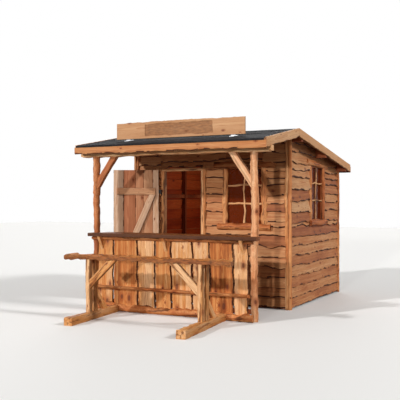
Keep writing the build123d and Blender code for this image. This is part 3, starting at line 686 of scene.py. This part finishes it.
def clad(at, s0, s1, rows, top):
    c = cladding
    boards, high = [], top
    for low, tone in rows:
        boards.append(lapBoard(at, s0, s1, low, high, tone))
        for s in (s0 + c.nailIn, s1 - c.nailIn):
            boards.append(nailed(at(s, low + c.nailUp, c.bottomOut - 0.006), outOf(at)))
        high = low + c.lap
    return boards


def buildWalls():
    c = cladding
    foot, head = c.holeHeights
    near, far, left, right = (c.holeMiddles[i] + way * c.holeHalf for i in (1, 0) for way in (-1, 1))
    front, rear = frontFace + 0.001, rearFace - 0.001
    walls = (  # name, node, side, and each field's ends, rows and top
        ("rightWall", "right_wall", "right", (
            (front, near, rowsNear, 2.62), (far, rear, rowsFar, 2.30),
            (near, far, ((2.25, 0.5), (head + c.sideLift, 0.4)), 2.42), (front, rear, rowsBelow, foot + c.sideLift))),
        ("frontWallRight", "front_wall_right", "front", (
            (doorRight, left, rowsFront, c.top), (right, innerSide, rowsCorner, c.top),
            (left, right, ((2.42, 0.5), (2.30, 0.4), (2.18, 0.6), (head, 0.5)), c.top),
            (doorRight, innerSide, rowsUnder, foot))),
        ("leftWall", "left_wall", "left", ((front, rear, rowsNear[:-1] + ((1.22, 0.7),) + rowsBelow[1:], 2.62),)),
        ("overDoor", "front_wall_over_door", "front", (
            (doorLeft, doorRight, ((2.44, 0.5), (2.30, 0.6), (2.16, 0.4), (doorTop, 0.5)), c.top),)),
        ("frontWallLeft", "front_wall_left", "front", (
            (-innerSide, doorLeft, rowsCorner[:-2] + ((1.27, 0.5), (1.13, 0.6)) + rowsUnder[1:], c.top),)),
        ("rearWall", "rear_wall", "rear", ((-innerSide, innerSide, rowsRear, 2.26),)),
    )
    for name, node, side, fields in walls:
        boards = [board for field in fields for board in clad(wallPlaces[side], *field)]
        wall = assembled(name + "Boards", "wallTimber", boards, node)
        sawUnderRoof(wall)
        sawOff(wall, down, z=c.foot)


buildWalls()
print("walls clad")


# Corner trims: half poles, a flat one on the face and a cheek round the side of each corner
cornerPoles = Look(width=0.066, front=0.042, rear=0.034, out=0.042, cheek=0.056, seat=0.002, bend=0.009, lumps=0.005)


def buildCorners():
    c = cornerPoles
    shape = {"half": True, "bend": c.bend, "lumps": c.lumps}
    pieces = []
    for side in (-1, 1):
        for back, face, depth in ((-1, frontFace, c.front), (1, rearFace, c.rear)):
            top = roofTop(face + back * depth) + 0.05
            x = side * (sideFace - c.width / 2 - c.seat / 2)
            flat = peeledPole((x, face, ground), (x, face, top), c.width - c.seat, depth, (0, back, 0),
                              dice.uniform(0.3, 0.5), **shape)
            x, y = side * sideFace, face + back * (depth - c.cheek / 2)
            cheek = peeledPole((x, y, ground), (x, y, top), c.cheek, c.out, (side, 0, 0),
                               dice.uniform(0.3, 0.6), **shape)
            pieces += [flat, cheek]
            if back > 0:
                sawOff(flat, up, z=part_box("rear_fascia")[0].z)
    trims = assembled("cornerPoles", "trimTimber", pieces, "corner_trims")
    sawUnderRoof(trims)
    sawOff(trims, down, z=ground)


buildCorners()
print("corners trimmed")


# Windows: a sawn sash, peeled-branch bars, half-pole jambs and half-log sill and lintel
windowLook = Look(
    halfWidth=0.275,
    bottom=1.235,
    top=2.050,
    sash=0.024,
    sashDepth=0.040,
    sashIn=0.006,
    jamb=(0.096, 0.036),
    sill=(0.105, 0.062),
    lintel=(0.105, 0.040),
    lintelBeyond=0.227,
    lumps=0.008,
    barRadius=0.015,
    barBend=0.013,
    barHeights=(0.296, 0.565),  # above the opening's foot
    over=0.004,  # how far bars and jambs run past the opening
    front=Look(middle=0.592, lift=0.0, fall=0.0, taper=1.0, sillBeyond=0.152, tones=(0.5, 0.45, 0.75, 0.6)),
    right=Look(middle=0.060, lift=0.044, fall=0.030, taper=0.78, sillBeyond=0.108, tones=(0.45, 0.7, 0.8, 0.5)),
)


def buildWindow(side):
    w, own, at = windowLook, windowLook[side], wallPlaces[side]
    out = outOf(at)
    bottom, top = w.bottom + own.lift, w.top + own.lift
    left, right = own.middle - w.halfWidth, own.middle + w.halfWidth
    deep, half, thick = -w.sashIn - w.sashDepth / 2, w.sash / 2, 2 * w.barRadius
    sash = [((s, bottom - 2 * half), (s, top + 2 * half), 0.9) for s in (left - half, right + half)]
    sash += [((left, z), (right, z), 0.95) for z in (bottom - half, top + half)]
    pieces = [liveBoard(at(*a, deep), at(*b, deep), w.sash, w.sashDepth, out, tone) for a, b, tone in sash]
    low, high = bottom - w.over, top + w.over
    bars = [[at(s, bottom + z, -w.sashIn - w.barRadius) for s in (left - w.over, right + w.over)] for z in w.barHeights]
    bars.append([at(own.middle - 0.004, z, -w.sashIn - 0.8 * w.barRadius) for z in (low, high)])
    for ends in bars:
        pieces.append(peeledPole(*ends, thick, thick, out, 0.0, bend=w.barBend, lumps=0.003, step=0.02, sides=10))
    jamb, sill, lintel = w.jamb[0] / 2, bottom - w.sill[0] / 2, top + w.lintel[0] / 2
    logs = (  # from, to, size, bend and taper
        ((left - jamb, low), (left - jamb, high), w.jamb, 0.014, 1),
        ((right + jamb, low), (right + jamb, high), w.jamb, 0.014, 1),
        ((left - own.sillBeyond, sill), (right + own.sillBeyond, sill), w.sill, 0.008, 1),
        ((left - w.lintelBeyond, lintel + own.fall), (right + w.lintelBeyond, lintel - own.fall), w.lintel, 0.008,
         own.taper),
    )
    shape = {"half": True, "lumps": w.lumps}
    for (a, b, size, bend, taper), tone in zip(logs, own.tones):
        pieces.append(peeledPole(at(*a, 0), at(*b, 0), *size, out, tone, bend=bend, taper=taper, **shape))
    assembled(side + "Window", "trimTimber", pieces, side + "_window_frame")


buildWindow("front")
buildWindow("right")
print("windows framed")


# Porch: round posts, a live-edge header, and split-pole knee braces
porchLook = Look(
    postX=1.25,
    postWidth=0.098,
    headerThick=0.090,
    headerFoot=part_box("header_beam")[0].z + 0.006,
    headerInner=1.475,  # between the barge boards
    headerEnd=1.506,
    tongueTop=2.288,
    seat=0.012,  # how far posts and braces run into the header
    braceReach=0.362,
    braceDrop=0.510,
    brace=(0.088, 0.062),
)


def headerBoard(x0, x1, foot, top, thick, tone, **shape):
    z = (foot + top) / 2
    return liveBoard((x0, postLine, z), (x1, postLine, z), top - foot, thick, forward, tone, **shape)


def buildPorch():
    p = porchLook
    foot, inner = p.headerFoot, p.headerInner
    # The header's pale tone, with its pale shades, is painted light against the fascia's shade
    pieces = [headerBoard(-inner, inner, foot, roofTop(postLine) + 0.03, p.headerThick, 0.15, low=0.009, wane=0.014,
                          bark=0.2)]
    sawUnderRoof(pieces[0])
    for side in (-1, 1):
        ends = sorted((side * (inner - 0.001), side * p.headerEnd))
        pieces.append(headerBoard(*ends, foot + p.seat, p.tongueTop, p.headerThick - 0.004, 0.1, step=0.02))
    assembled("header", "headerTimberPaintedLight", pieces, "header_beam")

    posts, braces = [], []
    for side, postTone, braceTone in ((-1, 0.7, 0.75), (1, 0.3, 0.1)):
        x, width = side * p.postX, p.postWidth * 0.97
        post = peeledPole((x, postLine, ground), (x, postLine, foot + 0.02), width, width, forward, postTone,
                          bend=0.008, lumps=0.006, sides=24, step=0.03, taper=1.06)
        sawOff(post, up, z=foot + p.seat)
        sawOff(post, down, z=ground)
        knee = brace(lambda run, rise: (run, postLine, rise), (x, foot - p.braceDrop), x - side * p.braceReach, foot,
                     *p.brace, forward, braceTone)
        sawOff(knee, up, z=foot + p.seat)
        sawOff(knee, (side, 0, 0), x=x)
        posts.append(post)
        braces.append(knee)
    assembled("posts", "poleTimber", posts, "porch_posts")
    assembled("kneeBraces", "poleTimber", braces, "porch_knee_braces")


buildPorch()
print("porch built")


# Roof: boards down each slope, fascias, live-edge barge boards, and felt in lapped courses
roofLook = Look(
    halfWidth=1.475,  # between the barge boards
    boards=23,
    boardGap=0.003,
    fascia=0.020,
    fasciaHeight=0.100,
    barge=0.025,
    bargeHeight=0.118,
    bargeAbove=0.011,
    feltThick=0.003,
    feltLift=0.0015,
    feltLip=0.026,
    feltLap=0.08,
    cap=0.16,
    laps=(-1.80, 0.53, -0.26),  # where a course's edge shows: one on the front slope, two on the rear
    feltHead=0.005,
)


def roofPoint(x, y, lift=0.0):
    return Vector((x, y, roofTop(y) + lift))


def sawEnds(piece, y0, y1):
    sawOff(piece, forward, y=y0)
    sawOff(piece, backward, y=y1)


def buildRoofBoards():
    r = roofLook
    pitch = 2 * r.halfWidth / r.boards
    slopes = (("Front", roofLow.y, roofRidge.y, -frontSlope), ("Rear", roofRidge.y, rearHigh.y, rearSlope))
    for name, y0, y1, slope in slopes:
        out = Vector((0, slope, 1)).normalized()
        boards = []
        for i in range(r.boards):
            x = -r.halfWidth + (i + 0.5) * pitch
            ends = [roofPoint(x, y) - out * roofBoard / 2 for y in (y0, y1)]
            boards.append(liveBoard(*ends, pitch - r.boardGap, roofBoard, out, dice.uniform(0.15, 0.85), step=0.2))
        sawEnds(assembled("roofBoards" + name, "roofTimber", boards, "roof_boards_" + name.lower()), y0, y1)


def buildFascias():
    r = roofLook
    end = sideFace + 0.2
    for name, eave, outward, wave in (("front", roofLow.y, -1, 0.012), ("rear", rearHigh.y, 1, 0.003)):
        facing, y = (0, outward, 0), eave - outward * r.fascia / 2
        under = roofTop(eave) - roofBoard
        low, high = under - r.fasciaHeight, under + 0.02
        z = (low + high) / 2
        pieces = [liveBoard((-end, y, z), (end, y, z), high - low, r.fascia, facing, 0.6, low=wave, wane=0.016)]
        for x in range(-3, 4):
            for height in (0.032, 0.082):
                pieces.append(nailed((x * 0.37, y + outward * r.fascia / 2, low + height), facing))
        sawUnderRoof(assembled(name + "Fascia", "roofTimber", pieces, name + "_fascia"))


def buildBarges():
    r = roofLook
    pieces = []
    x = r.halfWidth + r.barge / 2
    drop = r.bargeAbove - r.bargeHeight / 2
    slopes = (  # each board's ends, wave and tone, and how many pairs of nails hold it
        (roofLow.y + r.fascia, roofRidge.y - 0.001, 0.013, 0.15, 5),
        (roofRidge.y + 0.001, rearHigh.y - r.fascia, 0.006, 0.25, 9),
    )
    for side in (-1, 1):
        facing = (side, 0, 0)
        for y0, y1, wave, tone, count in slopes:
            run = Vector((0, y1 - y0, roofTop(y1) - roofTop(y0))).normalized() * 0.05
            ends = (roofPoint(side * x, y0, drop) - run, roofPoint(side * x, y1, drop) + run)
            board = liveBoard(*ends, r.bargeHeight * 0.985, r.barge, facing, tone, low=wave, wane=0.009, bark=0.7,
                              step=0.03)
            sawEnds(board, y0, y1)
            pieces.append(board)
            for i in range(count):
                y = y0 + (y1 - y0) * (i + 0.5) / count
                for fall in (0.032, 0.078):
                    pieces.append(nailed(roofPoint(side * (x + r.barge / 2 - 0.0005), y, r.bargeAbove - fall), facing))
    assembled("bargeBoards", "roofTimber", pieces, "barge_boards")


def feltSheet(y0, y1, lift0, lift1):  # one course: a thin sheet that lies almost flat on the boards
    r = roofLook
    low, high = roofPoint(0, y0, lift0), roofPoint(0, y1, lift1)
    length = (high - low).length
    along, across = (high - low) / length, Vector((1, 0, 0))
    bpy.ops.mesh.primitive_grid_add(x_subdivisions=60, y_subdivisions=max(3, round(length / 0.06)), size=1,
                                    location=(low + high) / 2, rotation=turned(across, along, across.cross(along)))
    piece = bpy.context.object
    piece.scale = (2 * r.halfWidth - 0.004, length, 1)
    settle(False)
    waver(piece, (every, "Z", 0.0012, "edge"))
    waver(piece, (lambda place: abs(place.y) > length / 2 - 0.01, "Y", 0.003, "lump"))
    thicken = piece.modifiers.new("thicken", "SOLIDIFY")
    thicken.thickness = r.feltThick
    thicken.offset = 1
    bpy.ops.object.modifier_apply(modifier=thicken.name)
    settle()
    return piece


def buildFelt():
    r = roofLook
    ridge, frontLap, rearLap, upperLap = roofRidge.y, *r.laps
    laid, lapped, cap = r.feltLift, r.feltLift + r.feltThick, 0.002 + 1.2 * r.feltThick
    courses = (  # from, to, and how far each edge is lifted
        (roofLow.y, frontLap + r.feltLap, laid, laid), (frontLap, ridge, lapped, laid),
        (rearLap - r.feltLap, rearHigh.y, laid, laid), (upperLap - r.feltLap, rearLap, laid, lapped),
        (ridge, upperLap, laid, lapped), (ridge - r.cap, ridge, cap, cap), (ridge, ridge + r.cap, cap, cap),
    )
    pieces = [feltSheet(*course) for course in courses]
    for eave, outward in ((roofLow.y, -1), (rearHigh.y, 1)):
        facing, top = (0, outward, 0), roofTop(eave) + 0.004
        y, z = eave + outward * 0.002, top - r.feltLip / 2
        pieces.append(liveBoard((-r.halfWidth, y, z), (r.halfWidth, y, z), r.feltLip, 0.0035, facing, low=0.0015,
                                step=0.06))
        for i in range(20):
            pieces.append(nailed(((i - 9.5) * 0.15, eave + outward * 0.0036, top - 0.013), facing, r.feltHead))
    rows = ((frontLap + 0.025, -frontSlope), (rearLap - 0.025, rearSlope), (upperLap - 0.025, rearSlope),
            (ridge - r.cap + 0.02, -frontSlope), (ridge + r.cap - 0.02, rearSlope))
    for y, slope in rows:
        for i in range(28):
            pieces.append(nailed(roofPoint((i - 13.5) * 0.106, y, 0.0075), (0, slope, 1), r.feltHead))
    assembled("feltCourses", "roofingFelt", pieces, "roofing_felt")


buildRoofBoards()
buildFascias()
buildBarges()
buildFelt()
print("roof laid")


# Bar: upright live-edge boards, half-log rails, and a dark varnished counter on three brackets
barLook = Look(
    shares=(0.114, 0.174, 0.120, 0.107, 0.138, 0.112, 0.146, 0.089),
    tones=(0.42, 0.62, 0.15, 0.42, 0.2, 0.08, 0.66, 0.08),
    half=1.182,
    gap=0.016,
    foot=0.020,
    thick=0.025,
    wave=0.009,
    wane=0.011,
    nailHeights=(0.13, 1.0),
    under=1.062,  # the counter's underside
    top=1.110,
    counter=(-1.290, 1.356),
    counterFront=0.170,
    counterBack=0.230,
    postClear=0.055,
    # Each rail: half its length, middle height, size, bend, lumps, and the level and side where it is sawn
    topRail=(1.265, 1.036, (0.050, 0.052), 0.009, 0.008, 1.062, up),
    bottomRail=(1.265, 0.050, (0.106, 0.055), 0.008, 0.014, ground, down),
    footRail=(1.220, 0.360, (0.096, 0.112), 0.004, 0.016, 0.358, up),
    brackets=(-1.115, -0.050, 1.115),
    bracket=(0.042, 0.100, 0.190),  # width, reach and drop
)


def buildBar():
    b = barLook
    room = 2 * b.half - b.gap * (len(b.shares) - 1)
    left = -b.half
    boards = []
    for share, tone in zip(b.shares, b.tones):
        width = room * share / sum(b.shares)
        x, y, foot = left + width / 2, barFace + b.thick / 2, b.foot + dice.uniform(0, 0.012)
        boards.append(liveBoard((x, y, foot), (x, y, b.under), width - 0.002, b.thick, forward, tone, low=b.wave,
                                high=b.wave, wane=b.wane, step=0.03))
        for z in b.nailHeights:
            boards += [nailed((x + side * width * 0.27, barFace + 0.0005, z), forward) for side in (-1, 1)]
        left += width + b.gap
    assembled("barBoards", "barTimber", boards, "bar_boards")

    for name, node in (("barTopRail", "top"), ("barBottomRail", "bottom"), ("footRail", "foot")):
        half, z, size, bend, lumps, level, side = b[node + "Rail"]
        rail = peeledPole((-half, barFace, z), (half, barFace, z), *size, forward, 0.6, half=True, bend=bend,
                          lumps=lumps)
        sawOff(rail, side, z=level)
        assembled(name, "trimTimber", [rail], "bar_" + node + "_rail")

    wide, reach, drop = b.bracket
    brackets = []
    for x in b.brackets:
        y = barFace - reach / 2
        bracket = liveBoard((x, y, b.under - drop), (x, y, b.under), reach, wide, (1, 0, 0), 0.15, step=0.02)
        sawOff(bracket, (0, -drop, -reach), x, barFace, b.under - drop)
        brackets.append(bracket)
    assembled("counterBrackets", "barTimber", brackets, "counter_brackets")

    front, joint, back = postLine - b.counterFront, postLine - b.postClear, postLine + b.counterBack
    inner = porchLook.postX - b.postClear
    z, thick = (b.under + b.top) / 2, b.top - b.under
    planks = []
    for x0, x1, y0, y1, tone, low, high in ((*b.counter, front, joint, 0.15, 0.006, 0),
                                            (-inner, inner, joint + 0.002, back, 0.1, 0, 0.006)):
        y = (y0 + y1) / 2
        planks.append(liveBoard((x0, y, z), (x1, y, z), y1 - y0, thick, up, tone, low=low, high=high, wane=0.014))
    assembled("counter", "counterTimber", planks, "counter_top")


buildBar()
print("bar built")


# Leaning rail: a thick live-edge plank on two stands, whose log feet run back to the bar
railLook = Look(
    plank=(-1.150, 1.330),
    skew=0.055,  # the right end is sawn askew
    top=0.855,
    thick=0.058,
    width=0.200,
    line=-3.092,
    stands=(-0.7655, 0.9095),
    heads=(-3.677, -3.772),
    swing=0.145,  # how far a foot's tail lies to the left of its head
    foot=(0.118, 0.108),
    taper=0.85,
    upright=(0.064, 0.060),
    uprightSpacing=0.130,
    brace=(0.088, 0.046),
    knee=(0.410, 0.385),  # reach and drop
    strut=(0.375, 0.458),  # reach, and height of its head
)


def buildLeaningRail():
    r = railLook
    under, line = r.top - r.thick, r.line
    z = (r.top + under) / 2
    plank = liveBoard((r.plank[0], line, z), (r.plank[1], line, z), r.width, r.thick, up, 0.6, low=0.012, high=0.012,
                      wane=0.020, bark=0.9, step=0.02, rough=0.013)
    sawOff(plank, (r.width, r.skew, 0), r.plank[1], line - r.width / 2)
    assembled("railPlank", "railTimber", [plank], "rail_plank")
    feet, uprights, braces = [], [], []
    for side, x, head in zip((-1, 1), r.stands, r.heads):
        turn = r.swing / (barFace - head)
        tail = barFace - 0.03
        wide, tall = r.foot
        ends = [(x + turn * (line - y), y, tall / 2) for y in (head, tail)]
        foot = liveBoard(*ends, wide, tall, up, 0.35, low=0.004, high=0.004, wane=0.028, bark=0.3, rough=0.003,
                         tail=r.taper)
        sawOff(foot, down, z=ground)
        feet.append(foot)
        for step, tone in ((-0.5, 0.1), (0.5, 0.35)):
            y = line + step * r.uprightSpacing
            uprights.append(liveBoard((x, y, 0.06), (x, y, under + 0.002), *r.upright, forward, tone, low=0.004,
                                      high=0.004, wane=0.012, bark=0.5, rough=0.002))
        y = line - r.uprightSpacing / 2
        corner = (x - side * r.upright[0] / 2, under - r.knee[1])
        knee = brace(lambda run, rise: (run, y, rise), corner, corner[0] - side * r.knee[0], under, *r.brace, forward,
                     0.05 if side > 0 else 0.4)
        sawOff(knee, up, z=under)
        sawOff(knee, (side, 0, 0), x=x)
        corner = (line + r.uprightSpacing / 2 + r.upright[1] / 2, r.strut[1])
        strutX = x - turn * (corner[0] + r.strut[0] / 2 - line)
        strut = brace(lambda run, rise: (strutX, run, rise), corner, corner[0] + r.strut[0], 0, *r.brace, (1, 0, 0),
                      0.3)
        sawOff(strut, down, z=0.04)
        sawOff(strut, forward, y=corner[0] - 0.03)
        braces += [knee, strut]
    for name, pieces in (("Feet", feet), ("Uprights", uprights), ("Braces", braces)):
        assembled("rail" + name, "railTimber", pieces, "rail_" + name.lower())


buildLeaningRail()
print("leaning rail built")


# Door: a ledged and braced leaf, built shut and then turned open on its hinge, and its frame
doorLook = Look(
    hinge=(-0.840, -1.200),
    open=-150,
    left=-0.820,
    right=-0.114,
    back=-1.160,
    thick=0.025,
    foot=0.100,
    top=2.052,
    shares=(0.13, 0.20, 0.18, 0.27, 0.22),  # from the hinge side
    tones=(0.1, 0.5, 0.6, 0.75, 0.0),
    ledges=(0.380, 1.667),
    ledge=0.105,
    ledgeEnds=(-0.767, -0.167),
    ledgeNails=8,
    brace=0.100,
    bolts=(0.05, 0.17, 0.30, 0.44),
    jamb=0.045,
    threshold=0.028,
    trim=(0.060, 0.044),
)


def hung(*leafPiece, **more):  # a piece of the leaf, put together shut and then swung open
    x, y = doorLook.hinge
    pin = Matrix.Translation((x, y, 0))
    piece = assembled(*leafPiece, body="door", **more)
    piece.data.transform(pin @ Matrix.Rotation(math.radians(doorLook.open), 4, "Z") @ pin.inverted())


def buildLeaf():
    d = doorLook
    y = d.back - d.thick / 2
    left = d.left
    boards = []
    for share, tone in zip(d.shares, d.tones):
        width = (d.right - d.left) * share
        x = left + width / 2
        boards.append(liveBoard((x, y, d.foot), (x, y, d.top), width - 0.0008, d.thick, backward, tone, low=0.001,
                                high=0.001, wane=0.007, step=0.05, bark=0.9))
        left += width
    hung("doorBoards", "doorTimber", boards, "door_boards")

    y = d.back + d.thick / 2
    first, last = d.ledgeEnds
    low, high = d.ledges[0] + d.ledge, d.ledges[1]
    shape = {"low": 0.002, "high": 0.002, "wane": 0.004}
    ledges = []
    for z in d.ledges:
        ends = [(x, y, z + d.ledge / 2) for x in d.ledgeEnds]
        ledges.append(liveBoard(*ends, d.ledge, d.thick, backward, 0.3, **shape))
        for i in range(d.ledgeNails):
            x = first + (i + 0.5) * (last - first) / d.ledgeNails
            ledges.append(nailed((x, d.back + d.thick, z + d.ledge * (0.3 if i % 2 else 0.7)), backward))
    half = d.brace / 2
    start, end = Vector((last - half, y, low)), Vector((first + half, y, high))
    over = (end - start).normalized() * 0.1
    slant = liveBoard(start - over, end + over, d.brace * 0.96, d.thick, backward, 0.15, **shape)
    sawOff(slant, down, z=low + 0.001)
    sawOff(slant, up, z=high - 0.001)
    hung("doorLedges", "doorTimber", ledges + [slant], "door_ledges")

    for name, z in zip(("Low", "High"), d.ledges):
        heads = [nailed((d.left + run, d.back - d.thick - 0.0038, z + d.ledge / 2), forward, 0.009) for run in d.bolts]
        hung("hingeBolts" + name, "blackIron", heads, like="door_hinge_straps")


def buildDoorway():
    d = doorLook
    deep, thick = (frontFace + doorBack) / 2, doorBack - frontFace
    half, under = d.jamb / 2, doorTop - d.jamb
    jambs = [liveBoard((x, deep, floorTop), (x, deep, under), d.jamb, thick, forward, tone)
             for x, tone in ((doorLeft + half, 0.3), (doorRight - half, 0.0))]
    assembled("doorJambs", "trimTimber", jambs, "door_jambs")
    for name, y, z, high, deep, tone in (
        ("Head", deep, under + half, d.jamb, thick, 0.1),
        ("Threshold", frontFace + d.threshold / 2, floorTop / 2, floorTop, d.threshold, 0.6),
    ):
        board = liveBoard((doorLeft, y, z), (doorRight, y, z), high, deep, forward, tone)
        assembled("door" + name, "trimTimber", [board], "door_" + name.lower())
    left, right = (corner.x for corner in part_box("door_trims"))
    half = d.trim[0] / 2
    trims = [peeledPole((x, frontFace, ground), (x, frontFace, doorTop), *d.trim, forward, tone, half=True, bend=0.006,
                        lumps=0.005) for x, tone in ((left + half, 0.15), (right - half, 0.35))]
    sawOff(assembled("doorTrims", "trimTimber", trims, "door_trims"), down, z=ground)


buildLeaf()
buildDoorway()
print("door hung")


# Sign board: bare, with a live top edge and a shallow field with a wavy chiselled border
signLook = Look(
    middle=-0.032,
    half=1.037,
    height=0.236,
    thick=0.028,
    behindPosts=0.250,
    fieldEnd=0.490,
    fieldEdge=0.032,
    fieldDepth=0.006,
    wave=0.010,
    borderWave=0.010,
    cut=0.03,
)


def buildSign():
    s = signLook
    front = postLine + s.behindPosts
    middle = (s.middle, front + s.thick / 2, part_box("sign_board")[0].z + s.height / 2)
    size = (2 * s.half, s.height, s.thick)
    bpy.ops.mesh.primitive_cube_add(size=1, location=middle, rotation=(math.radians(90), 0, 0), scale=size)
    settle(False)
    piece = bpy.context.object
    switchTo("EDIT")
    inner, tall = s.half - s.fieldEnd, s.height / 2 - s.fieldEdge
    columns = [-s.half + i * s.cut for i in range(1, round(2 * s.half / s.cut))]
    rows = [s.height * share for share in (-0.25, -0.12, 0, 0.12, 0.25)]
    for xs, zs in (((-inner, inner), (-tall, tall)), (columns, rows)):
        for x in xs:
            cutAll((middle[0] + x, front, 0), (1, 0, 0), False)
        for z in zs:
            cutAll((0, front, middle[2] + z), up, False)

    def inField(place, past=0.0, pastEdge=0.0):
        return abs(place.x) < inner + past and abs(place.y) < tall + pastEdge

    pick("FACE", lambda f: f.normal.z > 0.9 and inField(f.calc_center_median()))
    bpy.ops.mesh.extrude_region_move(TRANSFORM_OT_translate={"value": (0, s.fieldDepth, 0)})
    switchTo("OBJECT")
    top, sunk = s.height / 2 - 0.002, s.thick / 2 - s.fieldDepth

    def onRim(place, a, b):  # the field's border: the two sides that lie square to axis a
        size = (inner, tall)
        return abs(abs(place[a]) - size[a]) < 0.001 and abs(place[b]) < size[b] - 0.001 and place.z > 0

    waver(piece, (lambda p: p.y > top, "Y", s.wave, "edge"))
    waver(piece, (lambda p: p.y > top and p.z > 0, "Y", 0.004, "nick"))
    waver(piece, (lambda p: onRim(p, 1, 0), "Y", s.borderWave, "lump"))
    waver(piece, (lambda p: onRim(p, 0, 1), "X", s.borderWave, "lump"))
    waver(piece, (lambda p: abs(p.z - sunk) < 0.001 and inField(p, -0.002, -0.012), "Z", 0.0016, "nick"))

    # The sunk field and its border take the dark bark colours, so the field is darker than the board
    def carved(face):  # the live top edge, the field's border, and its chiselled floor
        if inField(face.center, 0.001, 0.01) and 0 < face.center.z < s.thick / 2 - 0.001:
            return 0.75 if face.normal.z > 0.7 else 1
        return 0.8 * (face.normal.y > 0.5)

    marked(piece, 0.42, carved)
    settle()
    assembled("signBoard", "signTimber", [piece], "sign_board")


buildSign()
print("sign set up")


# Floor boards, and finishes for the solids that stay as they are
floorLook = Look(boards=19, gap=0.003, tones=(0.2, 0.8))
keptNodes = {
    "floor_bearers": "shadedInnerTimberX", "bar_battens": "shadedInnerTimberX", "wall_studs": "shadedInnerTimberZ", "wall_rails": "shadedInnerTimberX",
    "roof_purlins": "shadedInnerTimberX", "door_hinge_straps": "blackIron", "door_hinge_pintles": "blackIron",
    "sign_brackets": "whiteZinc", "window_panes": "windowGlass",
}


def buildFloor():
    low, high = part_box("floor_boards")
    pitch = (high.y - low.y) / floorLook.boards
    z = (low.z + high.z) / 2
    boards = []
    for i in range(floorLook.boards):
        y = low.y + (i + 0.5) * pitch
        boards.append(liveBoard((low.x, y, z), (high.x, y, z), pitch - floorLook.gap, high.z - low.z, up,
                                dice.uniform(*floorLook.tones), step=0.3))
    assembled("floorPlanks", "shadedInnerTimber", boards, "floor_boards")


buildFloor()
for name, finish in keptNodes.items():
    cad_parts[name].data.materials.clear()
    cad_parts[name].data.materials.append(finishes[finish])
bpy.data.objects.remove(nailHead)
print("floor laid, solids finished")
